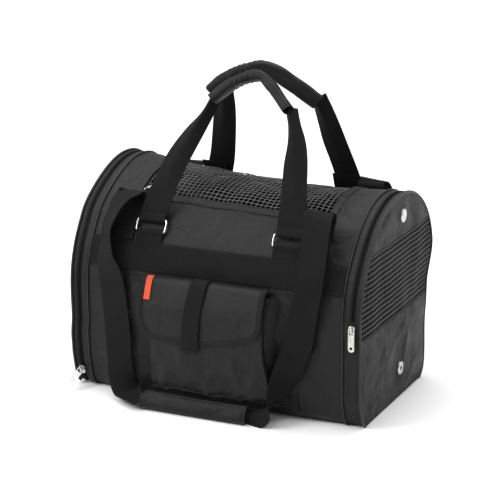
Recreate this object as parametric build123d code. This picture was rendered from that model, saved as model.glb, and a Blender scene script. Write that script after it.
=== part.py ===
from build123d import *
import os
from math import cos, radians, sin, sqrt

# Soft-sided pet carrier bag, closed, standing on its base. Millimetres.
# X runs along the bag, -Y is the pocket side, +Z is up.
# The origin is the middle of the base, on the surface that the bag stands on.

# ---- driving dimensions -------------------------------------------------
LENGTH = 450.0          # end panel to end panel
WIDTH = 296.0           # widest, at mid height
HEIGHT = 300.0          # base to crown
BASE_WIDTH = 250.0      # where the side arcs meet the floor
BASE_FILLET = 24.0      # rounding between side and base
WALL = 2.5              # padded polyester wall
GUSSET = 27.0           # depth of the end gussets
ZIP_TAPE = 4.35         # visible tape and teeth on one half of a zip
SLIT = 0.3              # gap between pieces that part or slide
TOUCH = 0.05            # gap between pieces sewn face to face

WEBBING = 40.0          # strap, belt and handle webbing
WEBBING_T = 1.6
BELT_Z = 188.0          # lower edge of the belt
MESH_T = 1.0
WINDOW_HALF_X = 145.0   # top mesh window
WINDOW_HALF_Y = 77.0
END_MESH_Z0 = 128.0     # end mesh windows
END_MESH_Z1 = 242.0
FOLD_Z = 157.0          # right end folds down here
PIPING = 2.5
PIPING_FOOT = 3.0       # the piping stops this high above the floor
ZIP_SINK = 0.4          # zip tape below the cloth's surface
ZIP_T = 1.6
MESH_SINK = 0.8         # end mesh behind the end panel's inner face

RING_X = 105.0          # handle rings, left and right of centre
RING_WIRE = 3.5
RING_INNER = 41.5       # between the ring's side bars
RING_PITCH = 18.5       # lower bar to upper bar
RING_Z = 242.0          # lower bar
RING_LEAN = 28.0        # degrees from upright
RING_LIFT = 0.6         # between ring and belt
CORE_DEPTH = 4.0        # folded webbing inside a grip
CORE_WIDTH = 10.0
CORE_AIR = 0.4
GRIP_TUCK = 3.0         # how far a strap goes into its grip

POCKET_X = 6.0          # middle of the bellows pocket
POCKET_FRONT = 178.0    # distance of the pocket's front from the centre plane
POCKET_TOP = 180.0
POCKET_SHOULDER = 148.0 # above this the front slopes back to the mouth
POCKET_MOUTH = 163.0    # distance of the mouth's front edge from the centre plane
POCKET_HEM = 32.0       # below this the front slopes back to the base
POCKET_HALF_FRONT = 85.0
POCKET_HALF_BACK = 108.0
FLAP_X = -2.0           # middle of the pocket's flap
FLAP_HALF = 95.0
FLAP_TOP = 187.0
FLAP_HINGE_Y = 151.0    # distance of the flap's sewn edge from the centre plane
FLAP_BOTTOM = 104.0
FLAP_CORNER = 32.0
FLAP_T = 1.6
FLAP_AIR = 2.2          # between pocket and flap
BINDING = 9.0
TAB_X = -11.0           # closure tab on the flap
TAB_WIDTH = 25.0
TAB_BOTTOM = 95.0
TAB_T = 1.4
LABEL_X = -80.0
LABEL_WIDTH = 10.0
LABEL_T = 0.8
LABEL_BOTTOM = 154.0
PATCH_T = 0.85          # hook-and-loop patches
PATCH_LENGTH = 28.0

STRAP_AXIS_Y = 100.0    # crest of the shoulder strap's arch
STRAP_AXIS_Z = 292.0
PAD_LENGTH = 162.0
PAD_WIDTH = 26.0
PAD_T = 12.0
PAD_CENTRE = (-10.0, -184.0, 14.8)
PAD_TILT = 65.0

STUD_Y = 8.0
STUD_Z = 270.0
STUD_R = 10.0
STUD_T = 3.0
SOCKET_BORE = 3.6       # radius of the press stud's hole
SOCKET_FLOOR = 1.0      # metal left under the hole

BOARD_HALF_X = 193.0    # stiffening board in the base
BOARD_HALF_Y = 93.0
BOARD_T = 4.0
CUSHION_INSET = 3.0     # the cushion's edge inside the board's
CUSHION_T = 16.0
CUSHION_CORNER = 20.0
CUSHION_ROUND = 5.0
MESH_HEM = 6.0          # mesh tucked under its window's edge
TAPE_WIDTH = 9.0        # tape sewn round the window
TAPE_T = 1.0
BELT_LIFT = 0.1         # between wall and belt

# ---- worked out ---------------------------------------------------------
HALF_LENGTH = LENGTH / 2
HALF_WIDTH = WIDTH / 2
SPRING_Z = HEIGHT - HALF_WIDTH
FLARE = HALF_WIDTH - BASE_WIDTH / 2
SIDE_RADIUS = (SPRING_Z ** 2 + FLARE ** 2) / (2 * FLARE)
SEAM_X = HALF_LENGTH - GUSSET
ZIP_X = SEAM_X + 10.0
SPLIT_X = ZIP_X + ZIP_TAPE
DOOR_ZIP_X = SPLIT_X + SLIT
DOOR_X = DOOR_ZIP_X + ZIP_TAPE
END_X = HALF_LENGTH - WALL
FAR = 1000.0
BELT_MID_Z = BELT_Z + WEBBING / 2
BASE_CUT = 86.0         # half width of the flat base panel
STOCK = WALL + 0.1      # depth at which inner layers start
LOOP_R = RING_WIRE / 2 * sqrt(2) + 0.35 + WEBBING_T / 2     # webbing's middle round a ring bar

nodes = {}


# ---- helpers ------------------------------------------------------------
def side_y(z, offset=0.0):
    """Distance of the outer surface from the centre plane at height z."""
    if z >= SPRING_Z:
        return sqrt((HALF_WIDTH + offset) ** 2 - (z - SPRING_Z) ** 2)
    return HALF_WIDTH - SIDE_RADIUS + sqrt((SIDE_RADIUS + offset) ** 2 - (SPRING_Z - z) ** 2)


def profile(offset=0.0):
    """Cross-section of the bag, grown outwards by offset."""
    crown = HALF_WIDTH + offset
    foot = side_y(-offset, offset)
    middle_z = SPRING_Z / 2
    middle = side_y(middle_z, offset)
    line = Polyline((-foot, -offset), (foot, -offset))
    right = ThreePointArc((foot, -offset), (middle, middle_z), (crown, SPRING_Z))
    top = ThreePointArc((crown, SPRING_Z), (0, SPRING_Z + crown), (-crown, SPRING_Z))
    left = ThreePointArc((-crown, SPRING_Z), (-middle, middle_z), (-foot, -offset))
    face = make_face([*line.edges(), *right.edges(), *top.edges(), *left.edges()])
    feet = face.vertices().sort_by(Axis.Y)[:2]
    return fillet(feet, BASE_FILLET + offset)


def prism(offset, x0, x1):
    """The bag's outline as a solid between two stations."""
    return extrude(Plane.YZ.offset(x0) * profile(offset), amount=x1 - x0)


def skin(outer, inner, x0, x1):
    """A layer that follows the bag's outline, between two offsets."""
    return prism(outer, x0, x1) - prism(inner, x0, x1)


def block(x0, x1, y0, y1, z0, z1):
    return Pos((x0 + x1) / 2, (y0 + y1) / 2, (z0 + z1) / 2) * Box(x1 - x0, y1 - y0, z1 - z0)


def above(z):
    return block(-FAR, FAR, -FAR, FAR, z, FAR)


def below(z):
    return block(-FAR, FAR, -FAR, FAR, -FAR, z)


def side_block(side, z0, z1, half_x=FAR):
    """Everything on one side (-1 front, 1 rear) between two heights."""
    near, far = sorted((0.0, side * FAR))
    return block(-half_x, half_x, near, far, z0, z1)


def keep(name, shape):
    nodes[name] = shape


def ribbon(stations, thickness=WEBBING_T, width=WEBBING):
    """Webbing through stations, each a centre and the direction of its width."""
    rails = [(Vector(*c), Vector(*w).normalized()) for c, w in stations]
    last = len(rails) - 1
    sections = []
    for i, (centre, across) in enumerate(rails):
        run = rails[min(i + 1, last)][0] - rails[max(i - 1, 0)][0]
        normal = across.cross(run).normalized() * (thickness / 2)
        half = across * (width / 2)
        corners = [centre - half - normal, centre + half - normal, centre + half + normal, centre - half + normal]
        sections.append(Wire(Polyline(*corners, close=True).edges()))
    return Solid.make_loft(sections, ruled=True)


# ---- cabin: base, walls and top -----------------------------------------
def window_block(margin):
    """Upright block over the top window, larger by margin on every side."""
    half_x = WINDOW_HALF_X + margin
    half_y = WINDOW_HALF_Y + margin
    return block(-half_x, half_x, -half_y, half_y, SPRING_Z, FAR)


def build_shell():
    walls = skin(0, -WALL, -SEAM_X, SEAM_X)
    keep("base_panel", walls & block(-FAR, FAR, -BASE_CUT, BASE_CUT, -1, WALL + 1))
    for side, name in ((-1, "side_panel_front"), (1, "side_panel_rear")):
        near, far = sorted((side * BASE_CUT, side * FAR))
        keep(name, walls & block(-FAR, FAR, near, far, -1, BELT_MID_Z))
    window = window_block(0.0)
    keep("top_panel", (walls & above(BELT_MID_Z)) - window)

    keep("top_mesh", skin(-STOCK, -STOCK - MESH_T, -SEAM_X, SEAM_X) & window_block(MESH_HEM))
    keep("top_window_tape", (skin(TAPE_T, TOUCH, -SEAM_X, SEAM_X) & window_block(TAPE_WIDTH)) - window)


def build_floor():
    board_z = WALL + TOUCH
    board_top = board_z + BOARD_T
    keep("base_board", block(-BOARD_HALF_X, BOARD_HALF_X, -BOARD_HALF_Y, BOARD_HALF_Y, board_z, board_top))
    cushion_z = board_top + TOUCH
    half_x = BOARD_HALF_X - CUSHION_INSET
    half_y = BOARD_HALF_Y - CUSHION_INSET
    cushion = block(-half_x, half_x, -half_y, half_y, cushion_z, cushion_z + CUSHION_T)
    cushion = fillet(cushion.edges().filter_by(Axis.Z), CUSHION_CORNER)
    keep("floor_cushion", fillet(cushion.faces().sort_by(Axis.Z)[-1].edges(), CUSHION_ROUND))


def build_belts():
    for side, name in ((-1, "belt_front"), (1, "belt_rear")):
        span = side_block(side, BELT_Z, BELT_Z + WEBBING)
        half = SEAM_X - PIPING / 2 - TOUCH
        keep(name, skin(WEBBING_T + BELT_LIFT, BELT_LIFT, -half, half) & span)


def build_seam_piping():
    cords = []
    for end in (-1, 1):
        middle = end * SEAM_X
        cord = skin(PIPING, TOUCH, middle - PIPING / 2, middle + PIPING / 2)
        cords.append(cord & above(PIPING_FOOT))
    keep("seam_piping", Compound(children=cords))


# ---- ends ---------------------------------------------------------------
def end_pieces(end):
    """Zip halves, outer gusset, piping and end plate, drawn for the right end."""
    def place(shape):
        return shape if end > 0 else mirror(shape, Plane.YZ)

    return {
        "inner_gusset": place(skin(0, -WALL, SEAM_X, ZIP_X)),
        "inner_zip": place(skin(-ZIP_SINK, -ZIP_SINK - ZIP_T, ZIP_X, SPLIT_X)),
        "outer_zip": place(skin(-ZIP_SINK, -ZIP_SINK - ZIP_T, DOOR_ZIP_X, DOOR_X)),
        "outer_gusset": place(skin(0, -WALL, DOOR_X, END_X)),
        "plate": place(prism(0, END_X + TOUCH, HALF_LENGTH)),
        "mesh_plate": place(prism(0, END_X + MESH_SINK, END_X + MESH_SINK + MESH_T)),
        "piping": place(skin(PIPING, TOUCH, END_X + TOUCH, HALF_LENGTH)),
    }


def band(z0, z1):
    return block(-FAR, FAR, -FAR, FAR, z0, z1)


def build_left_end():
    pieces = end_pieces(-1)
    lift = WALL + SLIT + 0.5
    lip = block(-HALF_LENGTH, -ZIP_X, -BASE_CUT, BASE_CUT, 0, WALL)
    keep("left_gusset", pieces["inner_gusset"] + lip)
    keep("left_zip_inner", pieces["inner_zip"] & above(lift))
    keep("left_zip_outer", pieces["outer_zip"] & above(lift))
    keep("left_door_gusset", pieces["outer_gusset"] & above(lift))
    keep("left_door_bottom", pieces["plate"] & band(lift, END_MESH_Z0))
    keep("left_door_mesh", pieces["mesh_plate"] & band(END_MESH_Z0 + TOUCH, END_MESH_Z1 - TOUCH))
    keep("left_door_top", pieces["plate"] & above(END_MESH_Z1))
    keep("left_door_piping", pieces["piping"] & above(lift))


def build_right_end():
    pieces = end_pieces(1)
    door = above(FOLD_Z + SLIT)
    fixed = below(FOLD_Z)
    keep("right_gusset", pieces["inner_gusset"] & above(FOLD_Z))
    keep("right_lower_gusset", skin(0, -WALL, SEAM_X, END_X) & fixed)
    keep("right_zip_inner", pieces["inner_zip"] & door)
    keep("right_zip_outer", pieces["outer_zip"] & door)
    keep("right_door_gusset", pieces["outer_gusset"] & door)
    keep("right_end_panel", pieces["plate"] & band(-1, END_MESH_Z0))
    keep("right_lower_mesh", pieces["mesh_plate"] & band(END_MESH_Z0 + TOUCH, FOLD_Z))
    keep("right_door_mesh", pieces["mesh_plate"] & band(FOLD_Z + SLIT, END_MESH_Z1 - TOUCH))
    keep("right_door_top", pieces["plate"] & above(END_MESH_Z1))
    keep("right_lower_piping", pieces["piping"] & band(PIPING_FOOT, FOLD_Z))
    keep("right_door_piping", pieces["piping"] & door)


def build_snaps():
    cap = Cylinder(STUD_R, STUD_T, align=(Align.CENTER, Align.CENTER, Align.MIN))
    cap = fillet(cap.faces().sort_by(Axis.Z)[-1].edges(), 1.4)
    facing = Rot(0, 90, 0)
    keep("right_door_stud", Pos(HALF_LENGTH + TOUCH, STUD_Y, STUD_Z) * facing * cap)
    socket_z = 2 * FOLD_Z - STUD_Z
    well = Cylinder(SOCKET_BORE, STUD_T, align=(Align.CENTER, Align.CENTER, Align.MIN))
    socket = cap - Pos(0, 0, SOCKET_FLOOR) * well
    keep("right_socket", Pos(HALF_LENGTH + TOUCH, STUD_Y, socket_z) * facing * socket)


# ---- zip sliders and pulls ----------------------------------------------
SLIDER_T = 3.4          # slider body, out from the zip
BRIDGE_GAP = 2.3        # under the slider's bridge
BAR_R = 0.7             # pull's cross bar
BAR_UP = 2.2            # cross bar above the slider's middle
PULL_LENGTH = 33.0


def slider_solid():
    """Slider lying on its zip: local Z is out of the bag, local Y up the zip."""
    body = Pos(0, 0, SLIDER_T / 2) * Box(9.0, 13.0, SLIDER_T)
    body = fillet(body.edges().filter_by(Axis.Z), 3.0)
    top = SLIDER_T + BRIDGE_GAP
    arch = Pos(0, BAR_UP - 1.4, top / 2 + 0.6) * Box(2.2, 8.2, top + 1.2)
    hollow = Pos(0, BAR_UP - 1.4, SLIDER_T + BRIDGE_GAP / 2) * Box(4.0, 5.4, BRIDGE_GAP)
    return body + (arch - hollow)


def pull_solid():
    """Pull tab hanging down its zip from the cross bar, at the local origin."""
    plate = Pos(0, -PULL_LENGTH / 2 + BAR_R, 0) * Box(9.0, PULL_LENGTH, 2 * BAR_R)
    plate = fillet(plate.edges().filter_by(Axis.Z).group_by(Axis.Y)[0], 4.0)
    slot = Pos(0, -BAR_R - 3.5, 0) * Box(6.6, 7.0, 4.0)
    eye = Pos(0, -PULL_LENGTH + 6.0, 0) * Cylinder(2.2, 4.0)
    pin = Rot(0, 90, 0) * Cylinder(BAR_R, 9.0)
    return (plate - slot - eye - Box(20, 2 * BAR_R + 0.2, 4.0)) + pin + rails()


def rails():
    """Side arms that join the pull's cross bar to its plate."""
    arm_x = 3.9
    arm_y = -2.0 * BAR_R
    arms = [Pos(s * arm_x, arm_y, 0) * Box(1.2, 4 * BAR_R, 2 * BAR_R) for s in (-1, 1)]
    return arms[0] + arms[1]


def zip_plane(end, z, offset):
    """Plane on the front face of a zip: X along the bag, Z out, Y up the zip."""
    y = -side_y(z, offset)
    centre_y = 0.0 if z >= SPRING_Z else SIDE_RADIUS - HALF_WIDTH
    out = Vector(0, y - centre_y, z - SPRING_Z).normalized()
    return Plane(origin=(end * (SPLIT_X + SLIT / 2), y, z), x_dir=(1, 0, 0), z_dir=out)


def build_sliders():
    for end, name, z, lift, yaw in ((1, "right", 146.0, 0.0, 0.0), (-1, "left", 26.0, 69.0, -30.0)):
        seat = zip_plane(end, z, SLIT)
        keep(name + "_slider", seat * slider_solid())
        hung = Pos(0, BAR_UP, SLIDER_T + BRIDGE_GAP / 2) * Rot(0, 0, yaw) * Rot(-lift, 0, 0)
        keep(name + "_pull", seat * (hung * pull_solid()))


# ---- handles ------------------------------------------------------------
def ring_bars(side):
    """Lower and upper bar of the handle rings, as (y, z)."""
    radius = HALF_WIDTH + WEBBING_T + RING_WIRE / 2 + RING_LIFT
    low_y = side * sqrt(radius ** 2 - (RING_Z - SPRING_Z) ** 2)
    lean = (-side * sin(radians(RING_LEAN)), cos(radians(RING_LEAN)))
    return (low_y, RING_Z), (low_y + lean[0] * RING_PITCH, RING_Z + lean[1] * RING_PITCH)


def build_rings():
    for side, name in ((-1, "front_rings"), (1, "rear_rings")):
        (y0, z0), (y1, z1) = ring_bars(side)
        up = Vector(0, y1 - y0, z1 - z0).normalized()
        rings = []
        for x in (-RING_X, RING_X):
            half = RING_INNER / 2 + RING_WIRE / 2
            plane = Plane(origin=(x, (y0 + y1) / 2, (z0 + z1) / 2), x_dir=(1, 0, 0), z_dir=Vector(1, 0, 0).cross(up))
            outer = RectangleRounded(2 * half + RING_WIRE, RING_PITCH + RING_WIRE, 4.0)
            inner = RectangleRounded(2 * half - RING_WIRE, RING_PITCH - RING_WIRE, 1.5)
            ring = extrude(outer - inner, amount=RING_WIRE / 2, both=True)
            rings.append(plane * fillet(ring.edges().filter_by(GeomType.LINE).filter_by(Axis.X), 1.2))
        keep(name, Compound(children=rings))


def webbing_loop(y, z):
    """Webbing turned round a ring bar that runs along X."""
    loop = Cylinder(LOOP_R + WEBBING_T / 2, WEBBING) - Cylinder(LOOP_R - WEBBING_T / 2, WEBBING)
    return Pos(0, y, z) * Rot(0, 90, 0) * loop


def build_ring_tabs():
    for side, name in ((-1, "ring_tabs_front"), (1, "ring_tabs_rear")):
        (y0, z0), _ = ring_bars(side)
        under = skin(WEBBING_T + BELT_LIFT, BELT_LIFT, -WEBBING / 2, WEBBING / 2)
        under = under & side_block(side, BELT_Z + WEBBING + TOUCH, RING_Z - 2.0)
        clear_shell = prism(BELT_LIFT, -FAR, FAR)
        loop = webbing_loop(y0, z0) - clear_shell
        tab = under + loop
        keep(name, Compound(children=[Pos(x, 0, 0) * tab for x in (-RING_X, RING_X)]))


def handle_plane(side, apex_y, apex_z):
    """Leaning plane of one handle: origin between its rings, Y up the handle."""
    _, (y1, z1) = ring_bars(side)
    up = Vector(0, apex_y - y1, apex_z - z1)
    plane = Plane(origin=(0, y1, z1), x_dir=(1, 0, 0), z_dir=Vector(1, 0, 0).cross(up.normalized()))
    return plane, up.length


def build_handle(side, name, apex_y, apex_z, left, right, apex_x, grip_width, grip_depth, leg_tip):
    """left and right are the grip's two ends, (x, distance up the handle)."""
    plane, rise = handle_plane(side, apex_y, apex_z)
    path = ThreePointArc(left, (apex_x, rise - grip_width / 2), right)
    start = Plane(origin=path @ 0, z_dir=path % 0)
    core = sweep(start * Rectangle(CORE_DEPTH, CORE_WIDTH), path=path)
    hole = Rectangle(CORE_DEPTH + CORE_AIR, CORE_WIDTH + CORE_AIR)
    sleeve = sweep(start * (Rectangle(grip_depth, grip_width) - hole), path=path)

    strap = core
    for end, x in ((left, -RING_X), (right, RING_X)):
        tip_z = end[1] + GRIP_TUCK
        corners = ((x - WEBBING / 2, LOOP_R), (x + WEBBING / 2, LOOP_R),
                   (end[0] + leg_tip / 2, tip_z), (end[0] - leg_tip / 2, tip_z))
        outline = Polyline(*corners, close=True)
        leg = extrude(make_face(outline.edges()), amount=WEBBING_T / 2, both=True) - sleeve
        loop = Cylinder(LOOP_R + WEBBING_T / 2, WEBBING) - Cylinder(LOOP_R - WEBBING_T / 2, WEBBING)
        strap = strap + leg + Pos(x, 0, 0) * Rot(0, 90, 0) * loop
    keep(name + "_strap", plane * strap)
    keep(name + "_grip", plane * sleeve)


# ---- shoulder straps ----------------------------------------------------
# Stations for the front strap: centre, then direction of the webbing's width.
ANCHOR = [
    ((150, -128.6, 229), (1, 0, 0)),
    ((150, -115.5, 249), (1, 0, 0)),
    ((150, -98.0, 271), (1, 0, 0)),
    ((150, -91.0, 284), (1, 0, 0)),
    ((150, -96.4, 291), (1, 0, 0)),
]
LEFT_BRANCH = [
    ((-148, -101.0, 292.6), (1, -0.1, 0)),
    ((-146, -113, 286), (0.9, -0.45, 0)),
    ((-155, -128, 266), (0.75, -0.66, 0)),
    ((-165, -144, 235), (0.75, -0.66, 0)),
    ((-161, -153, 205), (0.9, -0.4, 0)),
    ((-150, -156, 172), (1, -0.1, 0)),
    ((-142, -156, 102), (1, 0, 0)),
    ((-140, -156, 60), (1, 0, 0)),
    ((-136, -156, 30), (0.96, 0.2, 0.1)),
    ((-124, -162, 11), (0.75, 0.65, 0.1)),
    ((-108, -173, 9), (0.45, 0.88, 0.20)),
    ((-99, -182, 13), (0.20, 0.85, 0.45)),
]
RIGHT_BRANCH = [
    ((150, -101.0, 292.6), (1, 0, 0)),
    ((151, -114, 286), (1, 0, 0)),
    ((153, -132, 262), (1, 0, 0)),
    ((154, -146, 235), (1, 0, 0)),
    ((153, -154, 205), (1, 0, 0)),
    ((149, -156, 172), (1, 0, 0.1)),
    ((141, -156, 120), (0.97, 0.1, 0.2)),
    ((129, -158, 82), (0.85, 0.3, 0.4)),
    ((116, -163, 48), (0.6, 0.7, 0.4)),
    ((104, -172, 24), (0.3, 0.92, 0.25)),
    ((92, -180, 15), (0.1, 0.9, 0.35)),
    ((78, -184, 13), (0, 0.86, 0.45)),
]


def build_straps():
    for side, name in ((-1, "front"), (1, "rear")):
        def place(shape):
            return shape if side < 0 else mirror(shape, Plane.XZ)

        anchor = ribbon(ANCHOR)
        keep(name + "_strap_anchors", Compound(children=[place(anchor), place(mirror(anchor, Plane.YZ))]))
        keep(name + "_strap_left", place(ribbon(LEFT_BRANCH)))
        keep(name + "_strap_right", place(ribbon(RIGHT_BRANCH)))
        pad = Box(PAD_LENGTH, PAD_WIDTH, PAD_T)
        pad = fillet(pad.edges().filter_by(Axis.X), PAD_T / 3)
        keep(name + "_strap_pad", place(Pos(*PAD_CENTRE) * Rot(PAD_TILT, 0, 0) * pad))


# ---- pocket -------------------------------------------------------------
POCKET_BACK = 120.0     # where the gussets stop widening
POCKET_ROOT = 100.0     # well inside the wall
POCKET_FLOOR_Z = 10.0
POCKET_WALL = 2.0
SLIP_HALF = 132.0
SLIP_Z0 = 14.0
SLIP_Z1 = 182.0
SLIP_T = 1.2
SLIP_LIFT = 0.3


def bar(profile_points, x0, x1):
    """Prism along X over an outline in Y and Z."""
    outline = Polyline(*profile_points, close=True)
    return extrude(Plane.YZ.offset(x0) * make_face(outline.edges()), amount=x1 - x0)


def pocket_block(inset):
    """Form of the bellows pocket shrunk by inset; a shrunk one is open upwards."""
    front = -POCKET_FRONT + inset
    mouth = -POCKET_MOUTH + inset
    floor_z = POCKET_FLOOR_Z + inset
    root = -POCKET_ROOT
    side_view = [(mouth, POCKET_TOP), (front, POCKET_SHOULDER), (front, POCKET_HEM + inset),
                 (-POCKET_BACK, floor_z), (root, floor_z), (root, POCKET_TOP)]
    body = bar(side_view, -FAR, FAR)
    if inset:
        body = body + block(-FAR, FAR, mouth, root, POCKET_TOP, POCKET_TOP + inset)
    slope = (POCKET_HALF_BACK - POCKET_HALF_FRONT) / (POCKET_FRONT - POCKET_BACK)
    half_front = POCKET_HALF_FRONT - inset
    half_back = half_front + slope * (-POCKET_BACK - front)
    plan = Polyline((-half_front, front), (half_front, front), (half_back, -POCKET_BACK), (half_back, root),
                    (-half_back, root), (-half_back, -POCKET_BACK), close=True)
    return Pos(POCKET_X, 0, 0) * (body & extrude(make_face(plan.edges()), amount=FAR))


def build_pockets():
    slip = skin(SLIP_LIFT + SLIP_T, SLIP_LIFT, -SLIP_HALF, SLIP_HALF)
    keep("slip_pocket", slip & side_block(-1, SLIP_Z0, SLIP_Z1))
    outer = pocket_block(0.0) - prism(WEBBING_T, -FAR, FAR)
    inner = pocket_block(POCKET_WALL) - prism(WEBBING_T + POCKET_WALL, -FAR, FAR)
    keep("pocket_body", outer - inner)


def flap_layer(near, far, x0, x1, low=0.0):
    """A layer that lies over the pocket between two distances from the flap's back face."""
    rows = []
    for lift in (near, far):
        front = -POCKET_FRONT - FLAP_AIR - lift
        mouth = -POCKET_MOUTH - FLAP_AIR - lift
        top = FLAP_TOP + lift
        rows.append([(front, low), (front, POCKET_SHOULDER + FLAP_AIR), (mouth, top), (-FLAP_HINGE_Y, top)])
    return bar(rows[0] + rows[1][::-1], x0, x1)


def flap_outline(inset):
    """Front view of the flap as a prism through it, open upwards."""
    half = FLAP_HALF - inset
    low = FLAP_BOTTOM + inset
    top = HEIGHT
    face = Pos(FLAP_X, (top + low) / 2) * Rectangle(2 * half, top - low)
    face = fillet(face.vertices().sort_by(Axis.Y)[:2], FLAP_CORNER - inset)
    return extrude(Plane.XZ * face, amount=FAR)


def build_flap():
    sheet = flap_layer(0.0, FLAP_T, -FAR, FAR) & flap_outline(0.0)
    core = flap_outline(BINDING)
    keep("pocket_flap", sheet & core)
    keep("flap_binding", sheet - core)

    tab_x0 = TAB_X - TAB_WIDTH / 2
    tab_x1 = TAB_X + TAB_WIDTH / 2
    outside = FLAP_T + TOUCH
    clear_of_hinge = block(-FAR, FAR, -FAR, -FLAP_HINGE_Y - WALL, 0, FAR)
    tab = flap_layer(outside, outside + TAB_T, tab_x0, tab_x1, TAB_BOTTOM)
    keep("closure_tab", tab & clear_of_hinge)
    label = flap_layer(outside, outside + LABEL_T, LABEL_X - LABEL_WIDTH / 2, LABEL_X + LABEL_WIDTH / 2)
    keep("flap_label", label & band(LABEL_BOTTOM, FLAP_TOP - 1))
    hook_y = -POCKET_FRONT - FLAP_AIR + TOUCH
    hook_z = FLAP_BOTTOM + TOUCH
    keep("hook_patch", block(tab_x0, tab_x1, hook_y, hook_y + PATCH_T, hook_z, hook_z + PATCH_LENGTH))
    loop_y = -POCKET_FRONT - TOUCH
    keep("loop_patch", block(tab_x0, tab_x1, loop_y - PATCH_T, loop_y, TAB_BOTTOM, hook_z + PATCH_LENGTH))


# ---- everything ---------------------------------------------------------
build_shell()
build_floor()
build_belts()
build_seam_piping()
build_left_end()
build_right_end()
build_snaps()
build_sliders()
build_rings()
build_ring_tabs()
build_handle(-1, "front_handle", apex_y=-18.0, apex_z=464.0, left=(-47.0, 180.0), right=(71.0, 174.0),
             apex_x=18.0, grip_width=15.0, grip_depth=24.0, leg_tip=14.0)
build_handle(1, "rear_handle", apex_y=14.0, apex_z=472.0, left=(-76.0, 170.0), right=(93.0, 164.0),
             apex_x=9.0, grip_width=27.0, grip_depth=13.0, leg_tip=22.0)
build_straps()
build_pockets()
build_flap()

os.makedirs("parts", exist_ok=True)
for name, shape in nodes.items():
    export_step(shape, f"parts/{name}.step")
    print(name, round(shape.volume, 1))
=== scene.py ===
import math

import bmesh
import bpy
import numpy as np
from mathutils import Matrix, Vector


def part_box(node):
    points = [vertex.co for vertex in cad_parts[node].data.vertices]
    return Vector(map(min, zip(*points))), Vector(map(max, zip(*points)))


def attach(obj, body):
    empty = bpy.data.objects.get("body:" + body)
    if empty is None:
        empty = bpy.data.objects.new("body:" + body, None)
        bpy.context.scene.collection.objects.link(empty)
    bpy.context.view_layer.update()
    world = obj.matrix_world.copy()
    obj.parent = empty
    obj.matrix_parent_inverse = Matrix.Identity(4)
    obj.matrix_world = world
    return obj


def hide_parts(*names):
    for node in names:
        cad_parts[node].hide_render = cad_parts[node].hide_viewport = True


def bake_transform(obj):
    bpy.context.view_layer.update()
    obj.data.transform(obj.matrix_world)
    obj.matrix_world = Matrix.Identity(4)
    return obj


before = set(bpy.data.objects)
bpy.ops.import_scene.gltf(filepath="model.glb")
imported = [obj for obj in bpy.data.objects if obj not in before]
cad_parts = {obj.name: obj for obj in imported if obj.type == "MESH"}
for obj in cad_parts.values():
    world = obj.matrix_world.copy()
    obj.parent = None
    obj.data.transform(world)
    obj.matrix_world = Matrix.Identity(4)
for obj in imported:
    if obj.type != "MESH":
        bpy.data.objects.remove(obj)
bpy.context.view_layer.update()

# Soft-sided pet carrier bag: the looks of every piece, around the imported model.
# Sketch units are millimetres in the model's own frame; MM turns them into metres.

MM = 0.001

# ---- driving dimensions, as in the model -----------------------------------
HALF_LENGTH = 225.0
HALF_WIDTH = 148.0
HEIGHT = 300.0
SPRING_Z = HEIGHT - HALF_WIDTH
BASE_HALF = 125.0
FLARE = HALF_WIDTH - BASE_HALF
SIDE_RADIUS = (SPRING_Z ** 2 + FLARE ** 2) / (2 * FLARE)
FOOT_RADIUS = 24.0
WALL = 2.5
SEAM_X = 198.0
ZIP_X = 208.0
SPLIT_X = 212.5
DOOR_X = 217.0
BELT_Z = 188.0
WEBBING = 40.0
WEBBING_T = 1.6
WINDOW_X = 145.0
WINDOW_Y = 77.0
MESH_Z0 = 128.0
MESH_Z1 = 242.0
FOLD_Z = 157.0
DOOR_LIFT = 3.3
RING_X = 105.0
RING_WIRE = 3.5
RING_INNER = 41.5
RING_PITCH = 18.5
RING_Z = 242.0
POCKET_X = 6.0
FLAP_X = -3.0
POCKET_FRONT = 178.0
POCKET_MOUTH = 163.0
POCKET_SHOULDER = 148.0
POCKET_HEM = 32.0
POCKET_TOP = 180.0
POCKET_HALF = 85.0
FLAP_HALF = 95.0
FLAP_TOP = 188.0
FLAP_BOTTOM = 104.0
FLAP_CORNER = 32.0
LABEL_X = -85.0
BINDING = 9.0
TAB_X = -11.0
TAB_WIDTH = 25.0
TAB_BOTTOM = 95.0

# arc lengths of the outline, measured from the crown down one side
FOOT_Y = HALF_WIDTH - SIDE_RADIUS + math.sqrt((SIDE_RADIUS - FOOT_RADIUS) ** 2 - (SPRING_Z - FOOT_RADIUS) ** 2)
SIDE_TURN = math.asin((SPRING_Z - FOOT_RADIUS) / (SIDE_RADIUS - FOOT_RADIUS))
S_SPRING = HALF_WIDTH * math.pi / 2
S_SIDE = S_SPRING + SIDE_RADIUS * SIDE_TURN
S_FOOT = S_SIDE + FOOT_RADIUS * (math.pi / 2 - SIDE_TURN)
S_END = S_FOOT + FOOT_Y


# ---- small geometry helpers --------------------------------------------------
def unit(v):
    return v / np.maximum(np.linalg.norm(v, axis=-1, keepdims=True), 1e-9)


def smooth(t):
    t = np.clip(t, 0.0, 1.0)
    return t * t * (3 - 2 * t)


def marks(points, step):
    """Coordinates that pass through every given point, no further apart than step."""
    rows = []
    for a, b in zip(points, points[1:]):
        count = max(1, int(math.ceil(abs(b - a) / step)))
        rows.append(np.linspace(a, b, count, endpoint=False))
    return np.concatenate(rows + [np.array([points[-1]])])


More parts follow.
